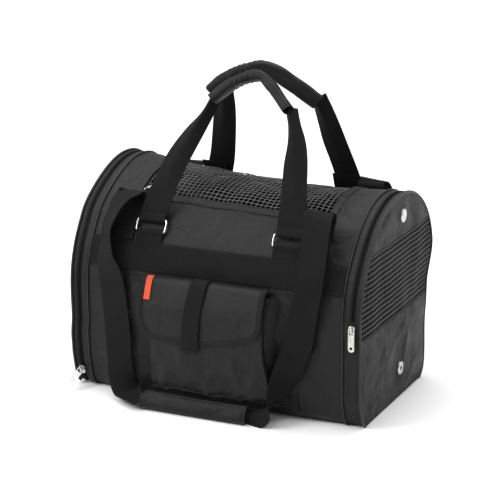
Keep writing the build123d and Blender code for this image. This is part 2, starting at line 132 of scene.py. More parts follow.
def ripple(u, v, seed, length, waves=7):
    """Smooth random relief from -1 to 1 with a given wavelength."""
    rng = np.random.default_rng(seed)
    total = np.zeros(np.broadcast(u, v).shape)
    for _ in range(waves):
        turn = rng.uniform(0, math.pi)
        wave = length * rng.uniform(0.65, 1.5)
        phase = rng.uniform(0, 2 * math.pi)
        total = total + np.sin(2 * math.pi * (u * math.cos(turn) + v * math.sin(turn)) / wave + phase)
    return total / waves ** 0.5 / 1.6


def crease(u, v, seed, length, sharp=2.5):
    """Narrow random ridges, from 0 to 1."""
    return np.exp(-sharp * np.abs(ripple(u, v, seed, length)) * 2)


def spline(points, step):
    """Evenly spaced points on a smooth curve through the given ones (any number of columns)."""
    p = np.asarray(points, float)
    p = np.vstack([2 * p[0] - p[1], p, 2 * p[-1] - p[-2]])
    t = np.linspace(0, 1, 24, endpoint=False)[:, None]
    rows = []
    for i in range(1, len(p) - 2):
        a, b, c, d = p[i - 1:i + 3]
        rows.append(0.5 * (2 * b + (c - a) * t + (2 * a - 5 * b + 4 * c - d) * t ** 2
                           + (3 * b - a - 3 * c + d) * t ** 3))
    fine = np.vstack(rows + [p[-2][None]])
    run = np.concatenate([[0], np.cumsum(np.linalg.norm(np.diff(fine[:, :3], axis=0), axis=1))])
    at = np.linspace(0, run[-1], max(2, int(run[-1] / step) + 1))
    return np.stack([np.interp(at, run, fine[:, k]) for k in range(fine.shape[1])], axis=1)


def lengths(path):
    return np.concatenate([[0], np.cumsum(np.linalg.norm(np.diff(path[:, :3], axis=0), axis=1))])


# ---- the bag's outline -------------------------------------------------------
def outline(s):
    """y, z and outward normal on the outline; s runs from the crown, positive down the front."""
    side = np.where(s >= 0, -1.0, 1.0)
    a = np.abs(s)
    crown = a / HALF_WIDTH
    wall = np.clip(a - S_SPRING, 0, None) / SIDE_RADIUS
    foot = SIDE_TURN + np.clip(a - S_SIDE, 0, S_FOOT - S_SIDE) / FOOT_RADIUS
    y = np.select(
        [a < S_SPRING, a < S_SIDE, a < S_FOOT],
        [HALF_WIDTH * np.sin(crown), HALF_WIDTH - SIDE_RADIUS + SIDE_RADIUS * np.cos(wall),
         FOOT_Y + FOOT_RADIUS * np.cos(foot)], FOOT_Y - (a - S_FOOT))
    z = np.select(
        [a < S_SPRING, a < S_SIDE, a < S_FOOT],
        [SPRING_Z + HALF_WIDTH * np.cos(crown), SPRING_Z - SIDE_RADIUS * np.sin(wall),
         FOOT_RADIUS - FOOT_RADIUS * np.sin(foot)], 0.0)
    ny = np.select([a < S_SPRING, a < S_SIDE, a < S_FOOT], [np.sin(crown), np.cos(wall), np.cos(foot)], 0.0)
    nz = np.select([a < S_SPRING, a < S_SIDE, a < S_FOOT], [np.cos(crown), -np.sin(wall), -np.sin(foot)], -1.0)
    return side * y, z, side * ny, nz


def s_at(z):
    """Arc length from the crown down to height z."""
    if z >= SPRING_Z:
        return HALF_WIDTH * math.acos(min(1.0, (z - SPRING_Z) / HALF_WIDTH))
    return S_SPRING + SIDE_RADIUS * math.asin((SPRING_Z - z) / SIDE_RADIUS)


S_BELT_TOP = s_at(BELT_Z + WEBBING)
S_BELT_LOW = s_at(BELT_Z)
S_WINDOW = HALF_WIDTH * math.asin(WINDOW_Y / HALF_WIDTH)


LEAN_BACK = 11.0    # the soft walls stand this much further forward at the base
CROWN_SWAY = 24.0   # the left crown leans this far to the rear
CROWN_RISE = 13.0
CORNER_TUCK = 7.0
CORNER_LIFT = 8.0   # and stands this much taller


def shear(x, z):
    """Shift of the cloth along Y: towards the front at the base, away from the left zip's slider."""
    hem = smooth((z - 62.0) / 34.0)
    low = -LEAN_BACK * smooth((120.0 - z) / 100.0) * (hem + (1 - hem) * smooth((x + 205.0) / 90.0))
    high = 0.5 * LEAN_BACK * smooth((z - 185.0) / 70.0) * smooth((x - 120.0) / 90.0)
    left = 0.8 * LEAN_BACK * smooth((z - 50.0) / 60.0) * smooth((-x - 130.0) / 70.0)
    sway = CROWN_SWAY * smooth((z - 252.0) / 48.0) * leftness(x)
    return low + high + left + sway


def slump(x, y, z):
    """The rear wall's lower half is drawn in towards the right end."""
    low = smooth((205.0 - z) / 65.0) * (0.2 + 0.8 * smooth((z - 15.0) / 85.0))
    return -29.0 * low * smooth((x - 20.0) / 190.0) * smooth(y / 115.0)


def leftness(x):
    """1 at the left end, falling to 0 near the right one."""
    return np.clip((150.0 - x) / 376.0, 0.0, 1.0)


def rise(x, z):
    return CROWN_RISE * smooth((z - 232.0) / 68.0) * leftness(x)


def relief(x, s):
    """How far the fabric stands in or out of its drawn outline, in millimetres."""
    a = np.abs(s)
    x, a = np.broadcast_arrays(x, a)
    s = np.broadcast_to(s, x.shape)
    calm = smooth((SEAM_X - np.abs(x)) / 30.0)
    top = smooth((S_BELT_TOP - a) / 30.0)
    lower = smooth((a - S_BELT_LOW) / 25.0) * smooth((S_SIDE - 4 - a) / 30.0)
    crown = smooth(1 - a / 95.0) * smooth((170 - np.abs(x)) / 90.0)
    out = -4.0 * crown * calm
    out = out + top * calm * (1.3 * ripple(x, s, 11, 70) - 1.5 * crease(x, s * 1.3, 12, 110))
    out = out + lower * calm * (1.6 * ripple(x, s, 21, 60) + 2.0 * crease(x * 1.6, s * 0.7, 22, 95) - 1.0)
    return out


def corner(x, y, z):
    """How far a point of the right end's lower front corner is rounded off."""
    return smooth((x - 140.0) / 80.0) * smooth((-y - 112.0) / 34.0) * smooth((44.0 - z) / 44.0)


def shell(x, s, offset=0.0, flat=False):
    """Points and normals on the bag's skin."""
    y, z, ny, nz = outline(np.asarray(s, float))
    x, y, z, ny, nz = np.broadcast_arrays(x, y, z, ny, nz)
    push = offset if flat else offset + relief(x, s)
    tuck = corner(x, y, z)
    points = np.stack([x + 0 * y, y + ny * push + shear(x, z) + slump(x, y, z) + CORNER_TUCK * tuck,
                       z + nz * push + rise(x, z) + CORNER_LIFT * tuck], axis=-1)
    return points, np.stack([0 * ny, ny, nz], axis=-1)


# ---- mesh pieces ---------------------------------------------------------------
class Piece:
    """Collects faces with a flat pattern in millimetres, then becomes one object."""

    def __init__(self):
        self.verts, self.faces, self.uvs, self.mats = [], [], [], []
        self.count = 0

    def add(self, points, faces, uv=None, mat=0):
        points = np.asarray(points, float).reshape(-1, 3)
        uv = np.zeros((len(points), 2)) if uv is None else np.asarray(uv, float).reshape(-1, 2)
        self.verts.append(points)
        self.uvs.append(uv)
        self.faces += [tuple(int(i) + self.count for i in f) for f in faces]
        self.mats += [mat] * len(faces)
        self.count += len(points)

    def slab(self, points, normals, thickness, uv=None, keep=None, mat=0, back=None):
        """A panel with thickness: the given grid and a copy of it set back."""
        m, n = points.shape[:2]
        keep = np.ones((m - 1, n - 1), bool) if keep is None else keep
        uv = np.zeros((m, n, 2)) if uv is None else uv
        under = points - normals * np.asarray(thickness)[..., None] if back is None else back
        index = np.arange(m * n).reshape(m, n)
        faces, edges = [], {}
        for i, j in zip(*np.nonzero(keep)):
            quad = (index[i, j], index[i + 1, j], index[i + 1, j + 1], index[i, j + 1])
            faces.append(quad)
            faces.append(tuple(q + m * n for q in reversed(quad)))
            for a, b in zip(quad, quad[1:] + quad[:1]):
                if (b, a) in edges:
                    del edges[(b, a)]
                else:
                    edges[(a, b)] = True
        faces += [(b, a, a + m * n, b + m * n) for a, b in edges]
        self.add(np.vstack([points.reshape(-1, 3), under.reshape(-1, 3)]), faces,
                 np.vstack([uv.reshape(-1, 2)] * 2), mat)

    def sweep(self, path, across, normal, section, closed=False, mat=0, uv_width=None):
        """A closed section (k, 2) or (m, k, 2) carried along a path."""
        m = len(path)
        section = np.broadcast_to(section, (m,) + np.shape(section)[-2:])
        k = section.shape[1]
        ring = path[:, None] + across[:, None] * section[..., :1] + normal[:, None] * section[..., 1:]
        run = lengths(path)
        around = np.concatenate([[0], np.cumsum(np.linalg.norm(np.diff(section[0], axis=0), axis=1))])
        u = section[..., 0] if uv_width else np.broadcast_to(around, (m, k))
        uv = np.stack([np.broadcast_to(run[:, None], (m, k)), u], axis=-1)
        index = np.arange(m * k).reshape(m, k)
        faces = []
        for i in range(m if closed else m - 1):
            for j in range(k):
                i2, j2 = (i + 1) % m, (j + 1) % k
                faces.append((index[i, j], index[i2, j], index[i2, j2], index[i, j2]))
        if not closed:
            faces += [tuple(index[0][::-1]), tuple(index[-1])]
        self.add(ring, faces, uv, mat)

    def build(self, name, materials, body, replaces=(), smooth_faces=True, levels=0):
        mesh = bpy.data.meshes.new(name)
        mesh.from_pydata((np.vstack(self.verts) * MM).tolist(), [], self.faces)
        layer = mesh.uv_layers.new(name="cut")
        corner = np.empty(len(mesh.loops), np.int64)
        mesh.loops.foreach_get("vertex_index", corner)
        layer.data.foreach_set("uv", (np.vstack(self.uvs) * MM)[corner].ravel())
        for material in materials:
            mesh.materials.append(material)
        mesh.polygons.foreach_set("material_index", self.mats)
        mesh.polygons.foreach_set("use_smooth", [smooth_faces] * len(mesh.polygons))
        work = bmesh.new()
        work.from_mesh(mesh)
        bmesh.ops.recalc_face_normals(work, faces=work.faces)
        work.to_mesh(mesh)
        work.free()
        obj = bpy.data.objects.new(name, mesh)
        bpy.context.collection.objects.link(obj)
        mesh.set_sharp_from_angle(angle=math.radians(48))
        if levels:
            modifier = obj.modifiers.new("soften", "SUBSURF")
            modifier.levels = levels
            modifier.render_levels = levels
        if body:
            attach(obj, body)
        if replaces:
            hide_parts(*replaces)
        return obj


def circle(radius, sides=8, squash=1.0):
    turn = np.linspace(0, 2 * math.pi, sides, endpoint=False)
    return np.stack([radius * np.cos(turn), radius * squash * np.sin(turn)], axis=1)


def band_section(width, thickness, columns=6):
    """Outline of a flat strap with rounded selvedges."""
    half, edge = width / 2, thickness / 2
    x = np.linspace(-half + edge, half - edge, columns)
    top = np.stack([x, np.full(columns, edge)], axis=1)
    bottom = np.stack([x[::-1], np.full(columns, -edge)], axis=1)
    turn = np.array([50.0, 0.0, -50.0]) * math.pi / 180
    right = np.stack([half - edge + edge * np.cos(turn), edge * np.sin(turn)], axis=1)
    left = np.stack([-half + edge - edge * np.cos(turn), -edge * np.sin(turn)], axis=1)
    return np.vstack([top, right, bottom, left])


def frames(path, hint):
    """Across and normal directions along a path, from a hint of the across direction."""
    run = unit(np.gradient(path, axis=0))
    across = unit(hint - run * np.sum(hint * run, axis=1, keepdims=True))
    return across, np.cross(run, across)


def tube(piece, path, radius, sides=8, squash=1.0, hint=(0.0, 0.0, 1.0), closed=False, mat=0):
    path = np.asarray(path, float)
    guide = np.broadcast_to(np.asarray(hint, float), path.shape)
    across, normal = frames(path, guide)
    piece.sweep(path, across, normal, circle(radius, sides, squash), closed=closed, mat=mat)


STITCH = (2.6, 0.55, 0.45)      # length, width and height of one stitch
STITCH_PITCH = 3.6


def stitches(piece, path, normal, mat=0, pitch=STITCH_PITCH):
    """A row of thread stitches along a path on a surface."""
    path = np.asarray(path, float)
    normal = np.broadcast_to(np.asarray(normal, float), path.shape)
    run = lengths(path)
    at = np.arange(pitch / 2, run[-1], pitch)
    centre = np.stack([np.interp(at, run, path[:, k]) for k in range(3)], axis=1)
    ahead = np.stack([np.interp(at + 0.5, run, path[:, k]) for k in range(3)], axis=1)
    up = unit(np.stack([np.interp(at, run, normal[:, k]) for k in range(3)], axis=1))
    back = np.stack([np.interp(at - 0.5, run, path[:, k]) for k in range(3)], axis=1)
    along = unit(ahead - back)
    side = unit(np.cross(up, along))
    length, width, height = STITCH
    shape = [(-0.5, 0, 0), (-0.28, -0.5, 0.1), (-0.28, 0.5, 0.1), (-0.28, 0, 0.7),
             (0.28, -0.5, 0.1), (0.28, 0.5, 0.1), (0.28, 0, 0.7), (0.5, 0, 0)]
    sides = [(0, 1, 3), (0, 3, 2), (0, 2, 1), (1, 4, 6, 3), (3, 6, 5, 2), (1, 2, 5, 4), (4, 7, 6), (6, 7, 5), (4, 5, 7)]
    for c, a, b, n in zip(centre, along, side, up):
        piece.add([c + a * p[0] * length + b * p[1] * width + n * p[2] * height for p in shape], sides, mat=mat)


# ---- materials -----------------------------------------------------------------
def node(tree, kind, **values):
    made = tree.nodes.new(kind)
    for key, value in values.items():
        if hasattr(made, key):
            setattr(made, key, value)
        else:
            made.inputs[key].default_value = value
    return made


def math_node(tree, operation, a, b=None):
    made = tree.nodes.new("ShaderNodeMath")
    made.operation = operation
    for socket, value in zip(made.inputs, (a, b)):
        if value is None:
            continue
        if isinstance(value, (int, float)):
            socket.default_value = value
        else:
            tree.links.new(value, socket)
    return made.outputs[0]


def remap(tree, value, low, high, new_low, new_high):
    made = tree.nodes.new("ShaderNodeMapRange")
    for key, number in (("From Min", low), ("From Max", high), ("To Min", new_low), ("To Max", new_high)):
        made.inputs[key].default_value = number
    tree.links.new(value, made.inputs["Value"])
    return made.outputs["Result"]


def noise(tree, scale, detail=3.0, roughness=0.55):
    where = tree.nodes.new("ShaderNodeTexCoord")
    made = tree.nodes.new("ShaderNodeTexNoise")
    made.inputs["Scale"].default_value = scale
    made.inputs["Detail"].default_value = detail
    made.inputs["Roughness"].default_value = roughness
    tree.links.new(where.outputs["Object"], made.inputs["Vector"])
    return made.outputs["Fac"]


def blend_colours(tree, factor, first, second):
    made = tree.nodes.new("ShaderNodeMix")
    made.data_type = "RGBA"
    made.inputs["A"].default_value = (*first, 1.0)
    made.inputs["B"].default_value = (*second, 1.0)
    tree.links.new(factor, made.inputs["Factor"])
    return made.outputs["Result"]


def bump(tree, height, depth, strength=1.0, under=None):
    made = tree.nodes.new("ShaderNodeBump")
    made.inputs["Distance"].default_value = depth * MM
    made.inputs["Strength"].default_value = strength
    tree.links.new(height, made.inputs["Height"])
    if under is not None:
        tree.links.new(under, made.inputs["Normal"])
    return made.outputs["Normal"]


def blank(name, metallic=0.0, specular=0.5, sheen=0.0, sheen_roughness=0.5, coat=0.0):
    made = bpy.data.materials.new(name)
    made.use_nodes = True
    shader = made.node_tree.nodes["Principled BSDF"]
    shader.inputs["Metallic"].default_value = metallic
    shader.inputs["Specular IOR Level"].default_value = specular
    shader.inputs["Sheen Weight"].default_value = sheen
    shader.inputs["Sheen Roughness"].default_value = sheen_roughness
    shader.inputs["Coat Weight"].default_value = coat
    return made, made.node_tree, shader


def crumple(tree, scale):
    """Height field with narrow creases, for thin cloth that has been folded before."""
    off = math_node(tree, "ABSOLUTE", math_node(tree, "SUBTRACT", noise(tree, scale, 2.0, 0.4), 0.5))
    return math_node(tree, "POWER", math_node(tree, "MINIMUM", math_node(tree, "MULTIPLY", off, 6.0), 1.0), 0.6)


def woven(name, thread, gap_shade, pitch, depth, roughness, specular=0.5, sheen=0.2, twill=False, wear=0.15, creased=0.0):
    """Cloth of two crossing sets of threads, darker between them as painted shade; pitch is (along, across) in
    millimetres.
    """
    made, tree, shader = blank(name, specular=specular, sheen=sheen)
    cut = tree.nodes.new("ShaderNodeUVMap")
    cut.uv_map = "cut"
    parts = tree.nodes.new("ShaderNodeSeparateXYZ")
    tree.links.new(cut.outputs["UV"], parts.inputs[0])
    along = math_node(tree, "MULTIPLY", parts.outputs["X"], 2 * math.pi / (pitch[0] * MM))
    across = math_node(tree, "MULTIPLY", parts.outputs["Y"], 2 * math.pi / (pitch[1] * MM))
    if twill:
        across = math_node(tree, "ADD", across, math_node(tree, "MULTIPLY", along, 0.5))
    weave = math_node(tree, "MULTIPLY", math_node(tree, "SINE", along), math_node(tree, "SINE", across))
    cloud = noise(tree, 38.0)
    fibre = noise(tree, 2600.0, 2.0)
    mixed = math_node(tree, "ADD", remap(tree, weave, -1, 1, 0.12, 0.88), remap(tree, cloud, 0.3, 0.7, -wear, wear))
    mixed = math_node(tree, "ADD", mixed, remap(tree, fibre, 0.3, 0.7, -0.12, 0.12))
    # the weave's low points take gap_shade: painted shade between the threads, where the bump dips
    colour = blend_colours(tree, mixed, gap_shade, thread)
    tree.links.new(colour, shader.inputs["Base Color"])
    tree.links.new(remap(tree, cloud, 0.3, 0.7, roughness - 0.07, roughness + 0.07), shader.inputs["Roughness"])
    relief_normal = bump(tree, fibre, depth * 0.4, 0.5)
    if creased:
        relief_normal = bump(tree, crumple(tree, 16.0), creased, 1.0, bump(tree, crumple(tree, 41.0), creased * 0.35))
    tree.links.new(bump(tree, weave, depth, 0.7, relief_normal), shader.inputs["Normal"])
    return made


def plain(name, dark, light, roughness, grain=180.0, depth=0.05, metallic=0.0, specular=0.5, sheen=0.0, coat=0.0,
          spread=0.06):
    """Moulded, cast or drawn stuff: tone, gloss and fine relief from noise."""
    made, tree, shader = blank(name, metallic=metallic, specular=specular, sheen=sheen, coat=coat)
    cloud = noise(tree, grain)
    fine = noise(tree, grain * 9, 4.0)
    colour = blend_colours(tree, remap(tree, cloud, 0.3, 0.7, 0, 1), dark, light)
    tree.links.new(colour, shader.inputs["Base Color"])
    tree.links.new(remap(tree, fine, 0.3, 0.7, roughness - spread, roughness + spread), shader.inputs["Roughness"])
    tree.links.new(bump(tree, fine, depth), shader.inputs["Normal"])
    return made


def grey(value, tint=1.04):
    """A near-black with a slightly cool cast."""
    return (value, value, value * tint)


POLYESTER = woven("polyester_charcoal", grey(0.0115), grey(0.0065), (0.9, 0.9), 0.08, 0.42, specular=0.17, sheen=0.01,
                  creased=1.2)
# a darker, less glossy copy of the same polyester: painted shade for the end panels
SHADED_DOOR_CLOTH = woven("polyester_door_painted_shade", grey(0.0105), grey(0.006), (0.9, 0.9), 0.08, 0.42, specular=0.09, sheen=0.01,
                  creased=1.2)
# dark lining cloth, darkened further as painted shade for the inside of the bag; no piece uses it
SHADED_LINING = woven("polyester_lining_painted_shade", grey(0.0025), grey(0.001), (1.1, 1.1), 0.08, 0.62, specular=0.04, sheen=0.0)
WEB = woven("webbing_black", grey(0.014), grey(0.001), (2.9, 2.1), 0.6, 0.66, specular=0.10, sheen=0.01)
TAPE = woven("binding_tape", grey(0.009), grey(0.003), (1.3, 0.9), 0.16, 0.6, specular=0.16, sheen=0.02)
NET = plain("net_yarn", grey(0.030), grey(0.068), 0.5, grain=300, specular=0.40, sheen=0.02)
PIPING = plain("piping_cord", grey(0.006), grey(0.014), 0.42, grain=500, depth=0.08, specular=0.35, sheen=0.02)
COIL = plain("zip_coil", grey(0.003), grey(0.007), 0.5, grain=400, specular=0.12)
THREAD = plain("thread", grey(0.008), grey(0.02), 0.5, grain=900, specular=0.25, sheen=0.0)
NICKEL = plain("nickel", (0.40, 0.385, 0.36), (0.62, 0.61, 0.59), 0.24, grain=130, depth=0.02, metallic=1.0, spread=0.08)
TAG = woven("woven_label", (0.70, 0.085, 0.028), (0.42, 0.035, 0.012), (0.8, 0.6), 0.08, 0.6, specular=0.3, sheen=0.05)
BOARD = plain("fibre_board", (0.10, 0.085, 0.065), (0.17, 0.145, 0.11), 0.8, grain=260, depth=0.12)
FLEECE = plain("cushion_cover", grey(0.030), grey(0.065), 0.85, grain=420, depth=0.5, sheen=0.5)
HOOK = plain("hook_and_loop", grey(0.006), grey(0.022), 0.8, grain=1500, depth=0.5, sheen=0.3)


# ---- cabin ---------------------------------------------------------------------
BEND = 3.2          # spacing of stations round the outline
FABRIC_STEP = 5.0


def panel(name, xs, ss, body, nodes, offset=0.0, thickness=WALL, keep=None, cloth=None, rows=()):
    """A panel that follows the bag's outline; rows are lines of stitching, each (x list, s list)."""
    grid_x, grid_s = np.meshgrid(xs, ss, indexing="ij")
    points, normals = shell(grid_x, grid_s, offset)
    piece = Piece()
    piece.slab(points, normals, thickness, uv=np.stack([grid_x, grid_s], axis=-1), keep=keep)
    for line_x, line_s in rows:
        line, up = shell(np.asarray(line_x, float) + 0 * np.asarray(line_s, float), line_s, offset + 0.05)
        stitches(piece, line, up, mat=1)
    return piece.build(name, [cloth or POLYESTER, THREAD], body, nodes)


def build_cabin():
    xs = marks([-SEAM_X, -WINDOW_X, WINDOW_X, SEAM_X], FABRIC_STEP)
    foot = S_END - 86.0
    belt = (S_BELT_TOP + S_BELT_LOW) / 2
    panel("base_panel", xs, marks([foot, S_END], 8), "shell", ["base_panel"])
    near = bpy.data.objects["base_panel"]
    mirror = near.modifiers.new("other_half", "MIRROR")
    mirror.use_axis = (False, True, False)
    mirror.merge_threshold = 0.0002
    for side, name in ((1, "side_panel_front"), (-1, "side_panel_rear")):
        panel(name, xs, side * marks([belt, S_SPRING, S_SIDE, S_FOOT, foot], BEND), "shell", [name])

    ss = marks([-belt, -S_WINDOW, S_WINDOW, belt], BEND)
    middle_x = (xs[1:] + xs[:-1]) / 2
    middle_s = (ss[1:] + ss[:-1]) / 2
    window = (np.abs(middle_x)[:, None] < WINDOW_X) & (np.abs(middle_s)[None] < S_WINDOW)
    panel("top_panel", xs, ss, "shell", ["top_panel"], keep=~window)

    rim = 11.0
    tape_x = marks([-WINDOW_X - rim, -WINDOW_X, WINDOW_X, WINDOW_X + rim], FABRIC_STEP)
    tape_s = marks([-S_WINDOW - rim, -S_WINDOW, S_WINDOW, S_WINDOW + rim], BEND)
    centre_x = (tape_x[1:] + tape_x[:-1]) / 2
    centre_s = (tape_s[1:] + tape_s[:-1]) / 2
    hole = (np.abs(centre_x)[:, None] < WINDOW_X) & (np.abs(centre_s)[None] < S_WINDOW)
    rows = []
    for inset in (2.0, rim - 2.0):
        long_x = np.linspace(-WINDOW_X - inset, WINDOW_X + inset, 120)
        long_s = np.linspace(-S_WINDOW - inset, S_WINDOW + inset, 80)
        rows += [(long_x, np.full(120, side * (S_WINDOW + inset))) for side in (-1, 1)]
        rows += [(np.full(80, side * (WINDOW_X + inset)), long_s) for side in (-1, 1)]
    panel("top_window_tape", tape_x, tape_s, "shell", ["top_window_tape"], offset=0.95, thickness=0.9, keep=~hole,
          rows=rows)


NET_PITCH = 7.3
YARN = 0.62
KNOT = 0.32


def net_lines(piece, place, u0, u1, v0, v1, step=3.25):
    """Yarns both ways, with a knot at each crossing; place(u, v) gives points and normals."""
    for first, (a0, a1, b0, b1) in enumerate(((u0, u1, v0, v1), (v0, v1, u0, u1))):
        count = int(round((a1 - a0) / NET_PITCH))
        length = np.linspace(b0, b1, 2 * int(round((b1 - b0) / NET_PITCH)) + 1)
        for at in np.linspace(a0, a1, count + 1):
            if first == 0:
                points, up = place(np.full(len(length), at), length)
            else:
                points, up = place(length, np.full(len(length), at))
            across, normal = frames(points, np.cross(unit(np.gradient(points, axis=0)), up))
            thick = YARN + KNOT * (np.arange(len(length)) % 2 == 0)
            piece.sweep(points, across, normal, circle(1.0, 6, 0.62) * thick[:, None, None])


def build_top_net():
    piece = Piece()
    hem = 6.0

    def place(x, s):
        points, up = shell(x, s, -3.0)
        droop = 2.2 * smooth(1 - np.abs(s) / S_WINDOW) * smooth(1 - np.abs(x) / WINDOW_X)
        droop = droop + 0.5 * ripple(x, s, 5, 40)
        return points - up * droop[..., None], up

    net_lines(piece, place, -WINDOW_X - hem, WINDOW_X + hem, -S_WINDOW - hem, S_WINDOW + hem)
    net = piece.build("top_mesh_net", [NET], "shell", ["top_mesh"])


def belt_piece(name, side):
    """Webbing round one side, with its ribs."""
    half = SEAM_X - 1.3
    xs = np.arange(-half, half + 0.01, 0.8)
    middle = side * (S_BELT_TOP + S_BELT_LOW) / 2
    width = S_BELT_LOW - S_BELT_TOP - 2.0
    edge = np.array([-0.5, -0.47, -0.3, -0.1, 0.1, 0.3, 0.47, 0.5])
    grid_x, grid_s = np.meshgrid(xs, middle + edge * width, indexing="ij")
    rib = 0.14 * np.cos(2 * math.pi * grid_x / 3.2)
    lip = np.where(np.abs(edge) > 0.49, -0.35, 0.0)[None]
    points, normals = shell(grid_x, grid_s, WEBBING_T + 0.2 + rib + lip)
    back, _ = shell(grid_x, grid_s, 0.15)
    piece = Piece()
    piece.slab(points, normals, 0.0, uv=np.stack([grid_x, grid_s], axis=-1), back=back)
    for inset in (3.0, width - 3.0):
        line_x = np.linspace(-half + 2, half - 2, 160)
        line, up = shell(line_x, np.full(160, middle - width / 2 + inset), WEBBING_T + 0.35)
        stitches(piece, line, up, mat=1)
    belt = piece.build(name, [WEB, THREAD], "shell", [name])


def loop_path(x, s0, s1, offset):
    """Path round the outline at one station."""
    ss = marks([s0, -S_FOOT, -S_SIDE, -S_SPRING, S_SPRING, S_SIDE, S_FOOT, s1], 2.6) if s0 < -S_FOOT else \
        marks([s0, 0, s1], 2.6)
    return shell(np.full(len(ss), x), ss, offset, flat=True)


def build_seam_piping():
    piece = Piece()
    limit = S_FOOT - 3.0
    for x in (-SEAM_X, SEAM_X):
        path, normal = loop_path(x, -limit, limit, 1.35)
        across, _ = frames(path, np.broadcast_to((1.0, 0.0, 0.0), path.shape))
        piece.sweep(path, across, normal, circle(1.25, 8))
        for offset_x in (-2.6, 2.6):
            path, normal = loop_path(x + offset_x, -limit, limit, 0.1)
            stitches(piece, path, normal, mat=1)
    piece.build("seam_piping", [PIPING, THREAD], "shell", ["seam_piping"])


# ---- ends ----------------------------------------------------------------------
S_LIFT = S_SIDE + FOOT_RADIUS * (math.asin((FOOT_RADIUS - DOOR_LIFT) / FOOT_RADIUS) - SIDE_TURN)
S_FOLD = s_at(FOLD_Z + 0.3)


def ring_slab(name, x0, x1, s0, s1, body, nodes, offset=0.0, thickness=WALL, cloth=None,
              full=False, rows=()):
    """A band round the outline between two stations; full goes under the base as well."""
    if full:
        ss = marks([-S_END, -S_FOOT, -S_SIDE, -S_SPRING, S_SPRING, S_SIDE, S_FOOT, S_END], BEND)
    elif s0 < 0 < s1:
        ss = marks([s0, 0, s1], BEND)
    else:
        ss = marks([s0, s1], BEND)
    xs = np.linspace(x0, x1, 4)
    return panel(name, xs, ss, body, nodes, offset, thickness, cloth=cloth, rows=rows)


def zip_half(name, edge_x, inward, s0, s1, body, nodes, phase):
    """Tape and coil of one half of a zip. edge_x is its outer edge, inward points to the split."""
    ss = marks([s0, 0, s1], BEND)
    tape_end = edge_x + inward * 3.2
    xs = np.linspace(edge_x, tape_end, 3)
    grid_x, grid_s = np.meshgrid(xs, ss, indexing="ij")
    points, normals = shell(grid_x, grid_s, -0.5, flat=True)
    piece = Piece()
    piece.slab(points, normals, 0.9, uv=np.stack([grid_x, grid_s], axis=-1))
    if phase == 0:
        guard_x, guard_s = np.meshgrid(np.linspace(edge_x + inward * 2.4, edge_x + inward * 6.0, 3), ss, indexing="ij")
        points, normals = shell(guard_x, guard_s, -1.7, flat=True)
        piece.slab(points, normals, 0.5, uv=np.stack([guard_x, guard_s], axis=-1))
    pitch = 2.2
    at = np.arange(s0 + 1 + phase * pitch / 2, s1 - 1, pitch)
    for corner_s in [at]:
        lows, highs = [], []
        for dx, ds, h in ((2.2, -0.55, -0.6), (2.2, 0.55, -0.6), (4.1, 0.45, -0.6), (4.1, -0.45, -0.6)):
            low, _ = shell(np.full(len(at), edge_x + inward * dx), corner_s + ds, h, flat=True)
            high, _ = shell(np.full(len(at), edge_x + inward * (dx * 0.93 + 0.2)), corner_s + ds * 0.75, 0.75, flat=True)
            lows.append(low)
            highs.append(high)
        for k in range(len(at)):
            piece.add([*(v[k] for v in lows), *(v[k] for v in highs)],
                      [(0, 1, 2, 3), (7, 6, 5, 4), (0, 4, 5, 1), (1, 5, 6, 2), (2, 6, 7, 3), (3, 7, 4, 0)], mat=1)
    for inset in (0.8,):
        line, up = loop_path(edge_x + inward * inset, s0, s1, -0.4)
        stitches(piece, line, up, mat=2)
    piece.build(name, [TAPE, COIL, THREAD], body, nodes)


def half_width_at(z):
    """Half width of the outline at each height, with the rounded foot."""
    z = np.asarray(z, float)
    upper = np.sqrt(np.clip(HALF_WIDTH ** 2 - np.clip(z - SPRING_Z, 0, None) ** 2, 0, None))
    lower = HALF_WIDTH - SIDE_RADIUS + np.sqrt(SIDE_RADIUS ** 2 - np.clip(SPRING_Z - z, 0, None) ** 2)
    foot = FOOT_Y + np.sqrt(np.clip(FOOT_RADIUS ** 2 - (FOOT_RADIUS - z) ** 2, 0, None))
    foot_top = SPRING_Z - SIDE_RADIUS * math.sin(SIDE_TURN)
    return np.where(z > SPRING_Z, upper, np.where(z > foot_top, lower, foot))


def end_point(end, u, z, proud=0.0):
    """Point on an end face: u from -1 (front) to 1 (rear); the face pillows a little."""
    half = half_width_at(z)
    y = u * (half - 0.4)
    rim = 1 - np.abs(u) ** 6
    tall = smooth(z / 26.0) * smooth((HEIGHT - z) / 26.0)
    swell = 2.2 * rim * tall
    fold = (1.3 * ripple(y, z, 31 + end, 75) + 2.4 * crease(y * 1.2, z * 0.9, 33 + end, 120)
            * smooth((MESH_Z0 - z) / 40.0) - 0.5) * rim * tall
    x = end * (HALF_LENGTH - 0.2 + proud + swell * 0.9 + fold)
    stand = end * HALF_LENGTH
    tuck = corner(stand, y, z)
    points = np.stack([x + 0 * y, y + shear(stand, z) + slump(stand, y, z) + CORNER_TUCK * tuck,
                       z + rise(stand, z) + CORNER_LIFT * tuck], axis=-1)
    return points, np.broadcast_to((float(end), 0.0, 0.0), points.shape)


def end_rows(z0, z1):
    """Heights that crowd together where the outline turns over."""
    low = [z0] if z0 >= FOOT_RADIUS else [z0, *(FOOT_RADIUS * (1 - math.cos(t)) for t in np.linspace(0.25, 1.5, 8))]
    start = low[-1] if z0 < FOOT_RADIUS else z0
    if z1 > 260:
        knee = 262.0
        top = SPRING_Z + HALF_WIDTH * np.sin(np.linspace(math.asin((knee - SPRING_Z) / HALF_WIDTH), math.pi / 2, 16))
        body = marks([start, knee], 4.0)[:-1]
        rows = np.concatenate([low[:-1] if z0 < FOOT_RADIUS else [], body, top])
    else:
        rows = np.concatenate([low[:-1] if z0 < FOOT_RADIUS else [], marks([start, z1], 4.0)])
    return np.clip(rows, z0, z1 - 0.02 if z1 >= HEIGHT else z1)


